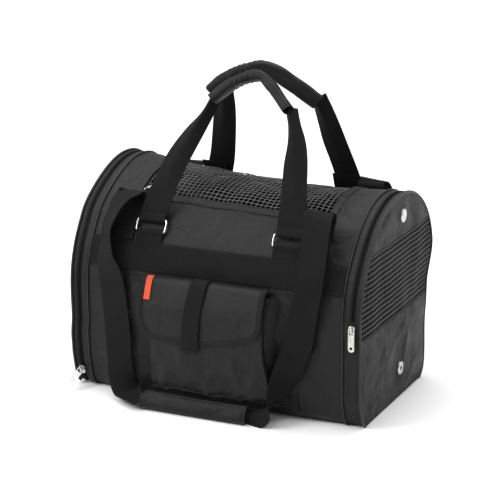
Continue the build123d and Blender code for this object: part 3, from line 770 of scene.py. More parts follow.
def end_panel(name, end, z0, z1, body, nodes, hem=None):
    zs = end_rows(z0, z1)
    grid_u, grid_z = np.meshgrid(np.linspace(-1, 1, 61), zs, indexing="ij")
    points, normals = end_point(end, grid_u, grid_z)
    piece = Piece()
    piece.slab(points, normals, 2.3, uv=np.stack([grid_u * half_width_at(grid_z), grid_z], axis=-1))
    if hem is not None:
        for dz in (2.0, 8.0):
            z = hem + (dz if hem < (z0 + z1) / 2 else -dz)
            line, up = end_point(end, np.linspace(-0.97, 0.97, 140), np.full(140, z), 0.05)
            stitches(piece, line, up, mat=1)
    # the end panels take the darker copy of the polyester as painted shade
    return piece.build(name, [SHADED_DOOR_CLOTH, THREAD], body, nodes)


def end_net(name, end, z0, z1, body, nodes):
    """Yarns across and up one end, cut to the outline."""
    piece = Piece()
    rows = np.arange(z0 + 0.5, z1, NET_PITCH)
    for z in rows:
        half = float(half_width_at(z)) - 2.0
        count = 2 * int(round(2 * half / NET_PITCH)) + 1
        u = np.linspace(-1, 1, count)
        points, up = end_point(end, u, np.full(count, z), -1.4)
        across, normal = frames(points, np.cross(unit(np.gradient(points, axis=0)), up))
        thick = YARN + KNOT * (np.arange(count) % 2 == 0)
        piece.sweep(points, across, normal, circle(1.0, 6, 0.62) * thick[:, None, None])
    reach = float(half_width_at(z0 if z0 > SPRING_Z else SPRING_Z)) - 2
    for y in np.arange(-reach + 3, reach, NET_PITCH):
        top = z1
        if abs(y) > float(half_width_at(z1)) - 2:
            top = min(z1, SPRING_Z + math.sqrt(max(0.0, (HALF_WIDTH - 2) ** 2 - y * y)))
        if top - z0 < 6:
            continue
        z = np.linspace(z0, top, max(3, 2 * int(round((top - z0) / NET_PITCH)) + 1))
        points, up = end_point(end, y / (half_width_at(z) - 0.4), z, -1.4)
        across, normal = frames(points, np.cross(unit(np.gradient(points, axis=0)), up))
        piece.sweep(points, across, normal, circle(YARN * 0.9, 6, 0.62))
    made = piece.build(name, [NET], body, nodes)
    return made


def end_piping(name, end, s0, s1, body, nodes):
    piece = Piece()
    path, normal = loop_path(end * (HALF_LENGTH - 1.0), s0, s1, 1.0)
    across, _ = frames(path, np.broadcast_to((1.0, 0.0, 0.0), path.shape))
    piece.sweep(path, across, normal, circle(1.8, 10))
    piece.build(name, [PIPING], body, nodes)


def build_left_end():
    ring_slab("left_gusset", -ZIP_X, -SEAM_X, 0, 0, "shell", ["left_gusset"], full=True)
    zip_half("left_zip_inner", -ZIP_X, -1, -S_LIFT, S_LIFT, "shell", ["left_zip_inner"], 0)
    zip_half("left_zip_outer", -DOOR_X, 1, -S_LIFT, S_LIFT, "left_door", ["left_zip_outer"], 1)
    ring_slab("left_door_gusset", -HALF_LENGTH + 2, -DOOR_X, -S_LIFT, S_LIFT, "left_door", ["left_door_gusset"])
    end_panel("left_door_bottom", -1, DOOR_LIFT, MESH_Z0, "left_door", ["left_door_bottom"], hem=MESH_Z0)
    net = end_net("left_door_net", -1, MESH_Z0, MESH_Z1, "left_door", ["left_door_mesh"])
    end_panel("left_door_top", -1, MESH_Z1, HEIGHT, "left_door", ["left_door_top"], hem=MESH_Z1)
    end_piping("left_door_piping", -1, -S_LIFT, S_LIFT, "left_door", ["left_door_piping"])


def build_right_end():
    ring_slab("right_gusset", SEAM_X, ZIP_X, -S_FOLD, S_FOLD, "shell", ["right_gusset"])
    full = marks([-S_END, -S_FOOT, -S_SIDE, -s_at(FOLD_Z)], BEND)
    xs = np.linspace(SEAM_X, HALF_LENGTH - 2, 8)
    pieces = Piece()
    for half in (full, -full[::-1]):
        grid_x, grid_s = np.meshgrid(xs, half, indexing="ij")
        points, normals = shell(grid_x, grid_s, 0.0, flat=True)
        tuck = 0.9 * ripple(grid_x * 2, grid_s, 41, 40) * smooth((S_SIDE - np.abs(grid_s)) / 20)
        pieces.slab(points + normals * tuck[..., None], normals, WALL, uv=np.stack([grid_x, grid_s], axis=-1))
    for x in (ZIP_X - 1.5, DOOR_X + 1.0):
        for side in (-1, 1):
            ss = np.linspace(s_at(FOLD_Z) + 2, S_FOOT - 4, 160) * side
            line, up = shell(np.full(160, x), ss, 0.5, flat=True)
            stitches(pieces, line, up, mat=1)
    pieces.build("right_lower_gusset", [POLYESTER, THREAD], "shell", ["right_lower_gusset"])
    zip_half("right_zip_inner", ZIP_X, 1, -S_FOLD, S_FOLD, "shell", ["right_zip_inner"], 0)
    zip_half("right_zip_outer", DOOR_X, -1, -S_FOLD, S_FOLD, "right_door", ["right_zip_outer"], 1)
    ring_slab("right_door_gusset", DOOR_X, HALF_LENGTH - 2, -S_FOLD, S_FOLD, "right_door", ["right_door_gusset"])
    end_panel("right_end_panel", 1, 0.0, MESH_Z0, "shell", ["right_end_panel"], hem=MESH_Z0)
    net = end_net("right_net", 1, MESH_Z0, MESH_Z1, None, ["right_door_mesh", "right_lower_mesh"])
    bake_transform(net)
    end_panel("right_door_top", 1, MESH_Z1, HEIGHT, "right_door", ["right_door_top"], hem=MESH_Z1)
    limit = S_FOOT - 3.0
    piece = Piece()
    for s0, s1 in ((-limit, -s_at(FOLD_Z)), (s_at(FOLD_Z), limit)):
        ss = marks([s0, s1], 2.6)
        path, normal = shell(np.full(len(ss), HALF_LENGTH - 1.0), ss, 1.0, flat=True)
        across, _ = frames(path, np.broadcast_to((1.0, 0.0, 0.0), path.shape))
        piece.sweep(path, across, normal, circle(1.8, 10))
    piece.build("right_lower_piping", [PIPING], "shell", ["right_lower_piping"])
    end_piping("right_door_piping", 1, -S_FOLD, S_FOLD, "right_door", ["right_door_piping"])


# ---- rings, tabs and handles -----------------------------------------------------
LEAN = math.radians(28)
BAR_RADIUS = HALF_WIDTH + WEBBING_T + RING_WIRE / 2 + 0.6
LOW_BAR_Y = math.sqrt(BAR_RADIUS ** 2 - (RING_Z - SPRING_Z) ** 2)
LOOP_R = RING_WIRE / 2 * math.sqrt(2) + 0.35 + WEBBING_T / 2


def lower_bar(side):
    return np.array([0.0, side * LOW_BAR_Y, RING_Z])


def ring_up(side):
    return np.array([0.0, -side * math.sin(LEAN), math.cos(LEAN)])


def upper_bar(side):
    return lower_bar(side) + ring_up(side) * RING_PITCH


def webbing(name, stations, body, replaces=(), width=WEBBING, thickness=WEBBING_T, rib=0.13, pitch=3.2, step=0.8,
            part=None, hems=True):
    """A strap through stations (x, y, z, across x, y, z, fold in degrees, width share)."""
    path = spline(stations, step)
    if part:
        path = path[part(path)]
    points, fold, share = path[:, :3], np.radians(path[:, 6]), path[:, 7]
    across, normal = frames(points, path[:, 3:6])
    run = lengths(points)
    half = width / 2
    v = np.array([-1, -0.985, -0.8, -0.45, -0.12, 0.12, 0.45, 0.8, 0.985, 1.0]) * half
    side = np.sign(v)
    lift = thickness / 2 + rib * np.cos(2 * math.pi * run / pitch)[:, None]
    lift = lift * np.where(np.abs(v) > 0.99 * half, 0.45, 1.0)[None]
    sine, cosine = np.sin(fold)[:, None], np.cos(fold)[:, None]
    a = v[None] * cosine * share[:, None]
    b = np.abs(v)[None] * sine * share[:, None]
    top = np.stack([a - side * sine * lift, b + cosine * lift], axis=-1)
    under = np.stack([a + side * sine * lift, b - cosine * lift], axis=-1)
    section = np.concatenate([top, under[:, ::-1]], axis=1)
    m, k = len(points), 2 * len(v)
    ring = points[:, None] + across[:, None] * section[..., :1] + normal[:, None] * section[..., 1:]
    flat_v = np.concatenate([v, v[::-1]])
    uv = np.stack([np.broadcast_to(run[:, None], (m, k)), np.broadcast_to(flat_v, (m, k))], axis=-1)
    index = np.arange(m * k).reshape(m, k)
    nxt = np.roll(index, -1, axis=1)
    faces = np.stack([index[:-1], index[1:], nxt[1:], nxt[:-1]], axis=-1).reshape(-1, 4).tolist()
    piece = Piece()
    piece.add(ring, faces + [tuple(index[0][::-1]), tuple(index[-1])], uv)
    made = piece.build(name, [WEB, THREAD], body, replaces)
    made["flat"] = float(run[-1])
    return made, run[-1]


def build_rings():
    for side, name in ((-1, "front_rings"), (1, "rear_rings")):
        up = ring_up(side)
        middle = lower_bar(side) + up * RING_PITCH / 2
        piece = Piece()
        for x in (-RING_X, RING_X):
            half_x, half_up, corner = RING_INNER / 2 + RING_WIRE / 2, RING_PITCH / 2, 4.6
            turn = np.linspace(0, math.pi / 2, 7)
            arc = np.stack([half_x - corner + corner * np.cos(turn), half_up - corner + corner * np.sin(turn)], axis=1)
            quarter = [arc, arc[::-1] * (-1, 1), -arc, arc[::-1] * (1, -1)]
            flat = np.vstack(quarter)
            path = middle + np.array([x, 0, 0]) + flat[:, :1] * np.array([1.0, 0, 0]) + flat[:, 1:] * up
            run = unit(np.roll(path, -1, axis=0) - np.roll(path, 1, axis=0))
            normal = np.broadcast_to(np.cross((1.0, 0, 0), up), path.shape)
            piece.sweep(path, np.cross(normal, run), normal, circle(RING_WIRE / 2, 10), closed=True)
        piece.build(name + "_wire", [NICKEL], name, [name])


def arc_points(centre, radius, start, stop, count, u, v):
    """Points round a bar, angles in degrees, u and v the two directions across it."""
    turn = np.radians(np.linspace(start, stop, count))
    return [centre + radius * (math.cos(t) * u + math.sin(t) * v) for t in turn]


def station(point, across=(1, 0, 0), fold=0.0, share=1.0):
    return (*point, *across, fold, share)


def build_ring_tabs():
    """Webbing that comes out from under the belt, round the ring's lower bar and back."""
    for side, name in ((-1, "ring_tabs_front"), (1, "ring_tabs_rear")):
        out = np.array([0.0, side * math.cos(math.radians(30)), math.sin(math.radians(30))])
        up = np.array([0.0, -out[2] * side, abs(out[1])])
        bar = lower_bar(side)
        front = [shell(0.0, -side * s_at(z), lift, flat=True)[0] for z, lift in ((224, 1.0), (229, 2.0), (234, 3.2))]
        rear = [shell(0.0, -side * s_at(z), 1.1, flat=True)[0] for z in (236, 231)]
        turn = arc_points(bar, LOOP_R, 0, 180, 7, out, up)
        for x, tag in ((-RING_X, "left"), (RING_X, "right")):
            points = [p + np.array([x, 0, 0]) for p in (*front, *turn, *rear)]
            strap, length = webbing(f"{name}_{tag}", [station(p) for p in points], "shell",
                                    [name] if tag == "left" else (), step=0.7)


# each handle lies in its own leaning plane: x along the bag, then distance up from the ring
FRONT_LEGS = {
    "left": [(-105, 0), (-104, 8), (-101, 30), (-95, 62), (-85, 95), (-72, 128), (-58, 158), (-48, 184)],
    "right": [(105, 0), (105, 8), (103, 34), (98, 66), (93, 100), (87, 130), (78, 156), (70, 178)],
}
FRONT_GRIP = [(-47, 180), (-24, 201), (2, 216), (22, 219), (37, 208), (54, 192), (71, 174)]
REAR_LEGS = {
    "left": [(-105, 0), (-103, 8), (-99, 28), (-91, 54), (-84, 84), (-77, 116), (-71, 148), (-68, 184)],
    "right": [(105, 0), (106, 8), (108, 34), (102, 66), (95, 100), (89, 130), (84, 154), (78, 176)],
}
REAR_GRIP = [(-82, 172), (-60, 192), (-34, 208), (-10, 218), (9, 221), (28, 214), (47, 200), (65, 185), (82, 170)]


class HandlePlane:
    """Leaning plane of one handle: x along the bag, up the handle, out towards the front."""

    def __init__(self, side, apex_y, apex_z):
        self.origin = upper_bar(side)
        rise = np.array([0.0, apex_y, apex_z]) - self.origin
        self.rise = float(np.linalg.norm(rise))
        self.up = rise / self.rise
        self.out = np.cross((1.0, 0, 0), self.up)

    def at(self, x, up, out=0.0):
        return self.origin + np.array([x, 0, 0]) + self.up * up + self.out * out


def build_handle(side, name, apex_y, apex_z, legs, grip, grip_width, grip_depth, fold, gather):
    """legs are (x, up) rows from each ring to the sleeve; grip is the sleeve's middle line."""
    plane = HandlePlane(side, apex_y, apex_z)
    for tag, rows in legs.items():
        x0 = rows[0][0]
        loop = [plane.at(x0, LOOP_R * math.sin(t), side * LOOP_R * math.cos(t))
                for t in np.radians([150, 190, 230, 270, 310, 350, 385])]
        back = [plane.at(x0 + 0.2, 44, side * 2.2), plane.at(x0, 20, side * 2.4)]
        top = rows[-1][1]
        folded = [float(0.35 * smooth((up - 0.1 * top) / (0.4 * top)) + 0.65 * smooth((up - 0.5 * top) / (0.44 * top)))
                  for _, up in rows]
        stations = [station(p) for p in back + loop]
        stations += [station(plane.at(x, up, 0.4), fold=fold * f, share=1 - 0.10 * f)
                     for (x, up), f in zip(rows[1:], folded[1:])]
        strap, length = webbing(f"{name}_strap_{tag}", stations, name, [name + "_strap"] if tag == "left" else ())

    flat_path = spline([(x, up, 0.0) for x, up in grip], 1.6)
    path = np.array([plane.at(x, up) for x, up, _ in flat_path])
    run = lengths(path)
    normal = np.broadcast_to(plane.out, path.shape)
    across = np.cross(unit(np.gradient(path, axis=0)), normal)
    turn = np.linspace(0, 2 * math.pi, 32, endpoint=False)
    squareness = 0.6
    c, s = np.cos(turn), np.sin(turn)
    flat = np.stack([np.sign(c) * np.abs(c) ** squareness, np.sign(s) * np.abs(s) ** squareness], axis=1)
    where = run[:, None] / run[-1]
    bunch = np.exp(-((where - gather) / 0.15) ** 2)
    wrinkle = (0.55 * np.sin(run[:, None] / 8.5 * 2 * math.pi + 2.2 * np.sin(turn * 2 + 0.6)[None]) * bunch
               + 0.45 * ripple(run[:, None], turn[None] * 9, 51 + side, 34)
               - 0.5 * crease(run[:, None] * 0.8, turn[None] * 12, 57 + side, 42))
    width = grip_width / 2 * (1 - 0.08 * bunch) + wrinkle
    depth = grip_depth / 2 * (1 + 0.03 * bunch) + wrinkle
    ring = (path[:, None] + across[:, None] * (flat[None, :, :1] * width[..., None])
            + normal[:, None] * (flat[None, :, 1:] * depth[..., None]))
    out = unit(ring - path[:, None])
    closed = np.concatenate([ring, ring[:, :1]], axis=1)
    closed_out = np.concatenate([out, out[:, :1]], axis=1)
    piece = Piece()
    uv = np.stack(np.broadcast_arrays(run[:, None], np.concatenate([turn, [2 * math.pi]])[None] * 6), axis=-1)
    piece.slab(closed, closed_out, 1.5, uv=uv)
    for k in (1, 15):
        stitches(piece, ring[3:-3, k] + out[3:-3, k] * 0.1, out[3:-3, k], mat=1)
    sleeve = piece.build(name + "_sleeve", [POLYESTER, THREAD], name, [name + "_grip"])


# ---- shoulder straps ---------------------------------------------------------------
ANCHOR = [
    ((150, -128.6, 229), (1, 0, 0)), ((150, -115.5, 249), (1, 0, 0)), ((150, -98.0, 271), (1, 0, 0)),
    ((150, -91.0, 284), (1, 0, 0)), ((150, -96.4, 291), (1, 0, 0)),
]
LEFT_BRANCH = [
    ((-146, -101.0, 292.6), (1, 0, 0)), ((-152, -110, 288), (0.84, -0.5, 0)), ((-159, -121, 275), (0.62, -0.75, -0.2)),
    ((-166, -135, 250), (0.68, -0.72, 0.05)), ((-166, -143, 228), (0.72, -0.64, 0.25)),
    ((-162, -152, 202), (0.88, -0.42, 0.1)), ((-150, -156, 172), (1, -0.1, 0)), ((-142, -156, 102), (1, 0, 0)),
    ((-140, -156, 60), (1, 0, 0)), ((-136, -156, 30), (0.96, 0.2, 0.1)), ((-124, -162, 13), (0.75, 0.65, 0.1)),
    ((-109, -173, 14), (0.45, 0.78, 0.43), 18), ((-86, -183, 15), (0.0, 0.5, 0.87), 50),
]
RIGHT_BRANCH = [
    ((145, -101.0, 292.6), (0.99, -0.05, -0.1)), ((147, -114, 286), (0.98, -0.1, -0.15)),
    ((150, -132, 262), (1, 0, -0.05)), ((152, -146, 235), (1, 0, 0)), ((151, -154, 205), (1, 0, 0)),
    ((146, -156, 172), (1, 0, 0.1)), ((137, -156, 120), (0.97, 0.1, 0.2)), ((124, -158, 82), (0.85, 0.3, 0.4)),
    ((110, -164, 48), (0.6, 0.7, 0.4)), ((99, -174, 28), (0.35, 0.8, 0.5), 8), ((86, -182, 17), (0.12, 0.7, 0.7), 30),
    ((66, -184, 14.5), (0, 0.5, 0.87), 52),
]

ARCH_DROP_Z = 235.0


def build_strap(side, name):
    """Webbing from under the belt over its arch and down to the shoulder pad."""
    body = name
    turn = np.array([1.0, -side, 1.0])
    for tag, branch, flip in (("left", LEFT_BRANCH, -1), ("right", RIGHT_BRANCH, 1)):
        anchor = [(np.array(c) * (flip, 1, 1), np.array(w) * (1, flip, 1)) for c, w in ANCHOR]
        if tag == "right":
            anchor = [(c - (5, 0, 0), w) for c, w in anchor]
        else:
            anchor[2:] = [((-149, -98.0, 272), (1, 0, 0)), ((-147, -91.0, 285), (1, 0, 0)), ((-146, -96.4, 291), (1, 0, 0))]
        stations = [station(np.array(c, float) * turn, np.array(w, float) * turn, *fold) for c, w, *fold in anchor + branch]
        arch = np.array(stations[len(ANCHOR) + 3][:3])
        path = spline(stations, 0.8)
        cut = int(np.argmin(np.linalg.norm(path[:, :3] - arch, axis=1)))
        upper, first = webbing(f"{name}_{tag}_arch", stations, None,
                               [f"{name}_anchors"] if tag == "left" else (), part=lambda p: slice(0, cut + 1))
        lower, second = webbing(f"{name}_{tag}_fall", stations, body, [f"{name}_{tag}"], part=lambda p: slice(cut, None))
        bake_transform(upper)

    length, width, thick = 162.0, 26.0, 13.0
    tilt = math.radians(65)
    along = np.array([1.0, 0.0, 0.0])
    across = np.array([0.0, math.cos(tilt), math.sin(tilt)]) * turn
    up = np.array([0.0, -math.sin(tilt), math.cos(tilt)]) * turn
    centre = np.array([-10.0, -184.0, 14.6]) * turn
    u, v = np.meshgrid(np.linspace(-1, 1, 97), np.linspace(-1, 1, 33), indexing="ij")
    edge = (1 - np.abs(v) ** 4) ** 0.5
    seam = np.exp(-((np.abs(v) - 0.72) / 0.07) ** 2)
    ends = np.exp(-((np.abs(u) - 0.955) / 0.012) ** 2)
    crown = thick / 2 * (0.62 + 0.38 * (1 - v ** 2)) * edge * (1 - 0.18 * seam) * (1 - 0.16 * ends)
    dimple = (0.5 * ripple(u * 80, v * 14, 61, 24) + 0.5 * crease(u * 80, v * 20, 62, 46)) * edge
    sag = np.array([0.0, 0.0, -1.0]) * (0.8 * np.sin(u * 2.1 + 0.6))[..., None]
    base = centre + along * (u * length / 2)[..., None] + across * (v * width / 2)[..., None] + sag
    top = base + up * (crown + dimple)[..., None]
    under = base - up * (crown * 0.7)[..., None]
    piece = Piece()
    piece.slab(top, np.broadcast_to(up, top.shape), 0.0, uv=np.stack([u * 80, v * 14], axis=-1), back=under)
    for row in (4, 28):
        stitches(piece, top[3:-3, row] + up * 0.1, up, mat=1)
    for column in (2, 5, 91, 94):
        stitches(piece, top[column, 3:-3] + up * 0.1, up, mat=1)
    pad = piece.build(name + "_pad_sleeve", [POLYESTER, THREAD], body, [name + "_pad"])


# ---- pocket --------------------------------------------------------------------------
def soft_corner(t, radius):
    """Zero below the corner and t beyond it, rounded over radius."""
    return 0.5 * (t + np.sqrt(t * t + radius * radius))


def pocket_front_y(z):
    """Front of the pocket: upright between its hem and its shoulder, sloping back beyond them."""
    foot = (POCKET_FRONT - 120.0) / (POCKET_HEM - 10.0) * soft_corner(POCKET_HEM - z, 5.0)
    mouth = (POCKET_FRONT - POCKET_MOUTH) / (POCKET_TOP - POCKET_SHOULDER) * soft_corner(z - POCKET_SHOULDER, 14.0)
    return -POCKET_FRONT + foot + mouth


def pocket_grid(step):
    """The bellows pocket as one sheet: left gusset, front, right gusset."""
    zs = marks([POCKET_TOP, POCKET_SHOULDER, 44.0, 10.5], step)
    t = np.concatenate([marks([0.0, 1.0], step / 60), 1 + marks([0.0, 1.0], step / 170)[1:],
                        2 + marks([0.0, 1.0], step / 60)[1:]])
    grid_t, grid_z = np.meshgrid(t, zs, indexing="ij")
    front = pocket_front_y(grid_z)
    back = -(half_width_at(grid_z) + 1.2) + shear(0.0, grid_z)
    slope = 0.397
    half_back = POCKET_HALF + slope * (back + POCKET_FRONT)
    half_front = POCKET_HALF + slope * (front + POCKET_FRONT)
    spread = 13.0 * smooth((110.0 - grid_z) / 80.0)
    left = np.clip(grid_t, 0, 1)
    right = np.clip(grid_t - 2, 0, 1)
    middle = np.clip(grid_t - 1, 0, 1)
    x = np.where(grid_t <= 1, -half_back + (half_back - half_front) * left,
                 np.where(grid_t < 2, -half_front + 2 * half_front * middle, half_front + (half_back - half_front) * right))
    x = x + spread * np.clip((grid_t - 1.0), 0.0, 1.0)
    y = np.where(grid_t <= 1, back + (front - back) * left, np.where(grid_t < 2, front, front + (back - front) * right))
    wall = np.where(grid_t <= 1, left, np.where(grid_t >= 2, 1 - right, 1.0))
    pinch = 1 - np.abs(2 * wall - 1)
    room = np.clip((back - front) / 40.0, 0, 1)
    tuck = 13.0 * pinch * room * (0.65 + 0.35 * smooth((grid_z - 40) / 80))
    x = x + np.where(grid_t <= 1, tuck, np.where(grid_t >= 2, -tuck, 0.0))
    swell = 3.0 * (1 - (2 * middle - 1) ** 4) * smooth((POCKET_TOP - grid_z) / 60) * smooth((grid_z - 18) / 40)
    face = (grid_t > 1) & (grid_t < 2)
    y = y - np.where(face, swell, 0.0)
    return grid_t, grid_z, np.stack([x + POCKET_X, y, grid_z + 0 * x], axis=-1)


def grid_normals(points, towards):
    du = np.gradient(points, axis=0)
    dv = np.gradient(points, axis=1)
    normal = unit(np.cross(du, dv))
    flip = np.sign(np.sum(normal * towards, axis=-1, keepdims=True))
    return normal * np.where(flip == 0, 1, flip)


def build_pocket():
    grid_t, grid_z, points = pocket_grid(3.0)
    towards = points - np.array([POCKET_X, -130.0, 90.0])
    normal = grid_normals(points, towards)
    x, z = points[..., 0], grid_z
    low = smooth((150 - z) / 110)
    face = np.where((grid_t > 1) & (grid_t < 2), 1.0, 0.55)
    relief_mm = (1.6 * ripple(x, z, 71, 55) + 0.9 * ripple(x, z, 72, 26) + 3.0 * (crease(x, z * 0.8, 73, 85) - 0.3)
                 + 2.2 * (crease(x * 1.2 + z * 0.6, z, 74, 60) - 0.3))
    pinned = smooth((POCKET_TOP - z) / 14) * smooth((z - 10) / 10)
    points = points + normal * (relief_mm * low * face * pinned)[..., None]
    run = np.concatenate([[0], np.cumsum(np.linalg.norm(np.diff(points[:, 0], axis=0), axis=1))])
    uv = np.stack(np.broadcast_arrays(run[:, None], z), axis=-1)
    piece = Piece()
    piece.slab(points, grid_normals(points, towards), 1.5, uv=uv)
    top = points[:, 2] + grid_normals(points, towards)[:, 2] * 0.1
    stitches(piece, top, grid_normals(points, towards)[:, 2], mat=1)
    piece.build("pocket_bellows", [POLYESTER, THREAD], "shell", ["pocket_body"], levels=1)

    xs = marks([-132.0, 132.0], FABRIC_STEP)
    ss = marks([s_at(182.0), s_at(14.0)], BEND)
    hem = np.linspace(-128, 128, 150)
    rows = [(hem, np.full(150, s_at(182.0) + d)) for d in (2.0, 9.0)]
    for side in (-1, 1):
        down = np.linspace(s_at(178.0), s_at(20.0), 100)
        rows.append((np.full(100, side * 129.5), down))
    panel("slip_pocket", xs, ss, "shell", ["slip_pocket"], offset=1.6, thickness=1.2, rows=rows)


def flap_low(x, inset=0.0):
    half, corner = FLAP_HALF - inset, FLAP_CORNER - inset
    over = np.clip(np.abs(x) - (half - corner), 0, corner)
    return FLAP_BOTTOM + inset + corner - np.sqrt(np.clip(corner ** 2 - over ** 2, 0, None))


# the flap's fall over the pocket, as (y, z)
FLAP_FALL = [(-151.0, 188.4), (-158.0, 189.2), (-165.0, 186.8), (-171.0, 177.5), (-177.0, 163.0), (-181.6, 147.0),
             (-182.6, 126.0), (-182.2, FLAP_BOTTOM)]
FALL = spline([(0.0, y, z) for y, z in FLAP_FALL], 1.0)
FALL_RUN = lengths(FALL)
FALL_LENGTH = float(FALL_RUN[-1])


def flap_point(x, d, lift=0.0):
    """Point and normal on the flap, d millimetres down from its hinge; x is from the flap's middle."""
    x, d = np.broadcast_arrays(np.asarray(x, float), np.asarray(d, float))
    d = d * (1 - 0.15 * smooth((x - 5.0) / 80.0) * np.clip(d / FALL_LENGTH, 0, 1))
    y = np.interp(d, FALL_RUN, FALL[:, 1])
    z = np.interp(d, FALL_RUN, FALL[:, 2])
    run = unit(np.gradient(FALL, axis=0))
    ny = -np.abs(np.interp(d, FALL_RUN, -run[:, 2]))
    nz = np.interp(d, FALL_RUN, -run[:, 1])
    share = np.clip((d - 26.0) / (FALL_LENGTH - 26.0), 0, 1)
    puff = (1.6 * np.sin(math.pi * share) * (1 - (x / FLAP_HALF) ** 2)
            + (0.8 * ripple(x, d, 81, 60) + 0.9 * crease(x, d * 1.4, 83, 80)) * smooth(share * 3))
    push = lift + puff
    points = np.stack([x + FLAP_X, y + ny * push, z + nz * push], axis=-1)
    return points, np.stack([0 * x, ny, nz], axis=-1)


def flap_end(x, inset=0.0):
    """How far down from the hinge the flap's edge lies at x."""
    return FALL_LENGTH - (flap_low(x, inset) - FLAP_BOTTOM)


def build_flap():
    xs = marks([-FLAP_HALF + 2, FLAP_HALF - 2], 4.0)
    grid_x, share = np.meshgrid(xs, np.linspace(0, 1, 34), indexing="ij")
    points, normals = flap_point(grid_x, share * flap_end(grid_x, 2.0))
    piece = Piece()
    piece.slab(points, normals, 1.5, uv=np.stack([grid_x, share * FALL_LENGTH], axis=-1))
    panel_piece = piece.build("flap_panel", [POLYESTER], "pocket_flap", ["pocket_flap"])

    inset = BINDING / 2
    half, corner = FLAP_HALF - inset, FLAP_CORNER - inset
    knee = FALL_LENGTH - FLAP_CORNER
    down = [(half, d) for d in np.linspace(0, knee, 40)]
    arc = [(half - corner + corner * math.cos(a), knee + corner * math.sin(a))
           for a in np.linspace(0, math.pi / 2, 20)[1:]]
    bottom = [(x, FALL_LENGTH - inset) for x in np.linspace(half - corner, corner - half, 40)[1:-1]]
    right = down + arc
    track = np.array(right + bottom + [(-x, d) for x, d in right[::-1]])
    path, up = flap_point(track[:, 0], track[:, 1], -0.75)
    run = lengths(path)
    at = np.linspace(0, run[-1], 280)
    path = np.stack([np.interp(at, run, path[:, k]) for k in range(3)], axis=1)
    up = unit(np.stack([np.interp(at, run, up[:, k]) for k in range(3)], axis=1))
    across = unit(np.cross(up, unit(np.gradient(path, axis=0))))
    piece = Piece()
    piece.sweep(path, across, up, band_section(BINDING, 3.2, 5), uv_width=True)
    for shift in (-3.0, 3.0):
        stitches(piece, path + up * 1.65 + across * shift, up, mat=1)
    piece.build("flap_edge_binding", [TAPE, THREAD], "pocket_flap", ["flap_binding"])

    rows = np.array([4.0, 12, 20, 30, 42, 56, 72, 88, FALL_LENGTH, FALL_LENGTH + 9.0])
    offset_x = TAB_X - FLAP_X - 0.07 * (rows - 50.0)
    spots, ups = flap_point(offset_x, np.minimum(rows, FALL_LENGTH), 2.6)
    spots[-1, 2] -= 9.0
    tab, length = webbing("closure_tab_strap", [station(p) for p in spots], "pocket_flap", ["closure_tab"],
                          width=TAB_WIDTH)

    xs = np.linspace(-4.6, 4.6, 5)
    grid_x, grid_d = np.meshgrid(xs, np.linspace(9.0, 44.0, 22), indexing="ij")
    points, normals = flap_point(LABEL_X - FLAP_X + grid_x + 0.03 * grid_d, grid_d, 1.7)
    piece = Piece()
    piece.slab(points, normals, 0.8, uv=np.stack([grid_x, grid_d], axis=-1))
    for x in (1, 3):
        stitches(piece, points[x, 1:5] + normals[x, 1:5] * 0.05, normals[x, 1:5], mat=1)
    piece.build("flap_tag", [TAG, THREAD], "pocket_flap", ["flap_label"])


# ---- inside ------------------------------------------------------------------------
def rounded_plan(half_x, half_y, corner, count=9):
    turn = np.linspace(0, math.pi / 2, count)
    arc = np.stack([half_x - corner + corner * np.cos(turn), half_y - corner + corner * np.sin(turn)], axis=1)
    return np.vstack([arc, arc[::-1] * (-1, 1), -arc, arc[::-1] * (1, -1)])


def build_inside():
    low, high = (np.array(v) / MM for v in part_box("base_board"))
    plan = rounded_plan(high[0], high[1], 14.0)
    levels = [(low[2], -0.8), (low[2] + 0.8, 0.0), (high[2] - 0.8, 0.0), (high[2], -0.8)]
    piece = Piece()
    k = len(plan)
    rows = [np.column_stack([plan * (1 + inset / 190.0), np.full(k, z)]) for z, inset in levels]
    faces = [(i * k + j, i * k + (j + 1) % k, (i + 1) * k + (j + 1) % k, (i + 1) * k + j)
             for i in range(3) for j in range(k)]
    faces += [tuple(range(k))[::-1], tuple(range(3 * k, 4 * k))]
    piece.add(np.vstack(rows), faces, np.vstack(rows)[:, :2])
    piece.build("base_board_plate", [BOARD], "shell", ["base_board"])

    low, high = (np.array(v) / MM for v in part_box("floor_cushion"))
    u, v = np.meshgrid(np.linspace(-1, 1, 96), np.linspace(-1, 1, 48), indexing="ij")
    pull = 1 - 0.02 * (1 - np.abs(u) ** 2) - 0.0 * v
    x = high[0] * u * (1 - 0.018 * (1 - v ** 2))
    y = high[1] * v * (1 - 0.03 * (1 - u ** 2)) * pull
    rim = ((1 - np.abs(u) ** 8) * (1 - np.abs(v) ** 8)) ** 0.5
    thick = high[2] - low[2]
    channel = np.exp(-(np.abs((u * 2 + 100) % 1 - 0.5) / 0.03) ** 2) * 0.5
    top = low[2] + 0.5 * thick + rim * thick * (0.46 - 0.22 * channel) + 0.35 * ripple(x, y, 91, 60) * rim
    under = low[2] + 0.5 * thick - rim * thick * 0.49
    piece = Piece()
    upper = np.stack([x, y, top], axis=-1)
    piece.slab(upper, np.broadcast_to((0.0, 0, 1.0), upper.shape), 0.0, uv=np.stack([x, y], axis=-1),
               back=np.stack([x, y, under], axis=-1))
    cushion = piece.build("floor_cushion_pad", [FLEECE], "shell", ["floor_cushion"])


# ---- metal fittings kept from the model ------------------------------------------------
def finish_fittings():
    for name in ("right_door_stud", "right_socket", "right_slider", "left_slider", "right_pull", "left_pull"):
        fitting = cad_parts[name]
        fitting.data.materials.clear()
        fitting.data.materials.append(NICKEL)
    for name in ("hook_patch", "loop_patch"):
        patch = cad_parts[name]
        patch.data.materials.clear()
        patch.data.materials.append(HOOK)


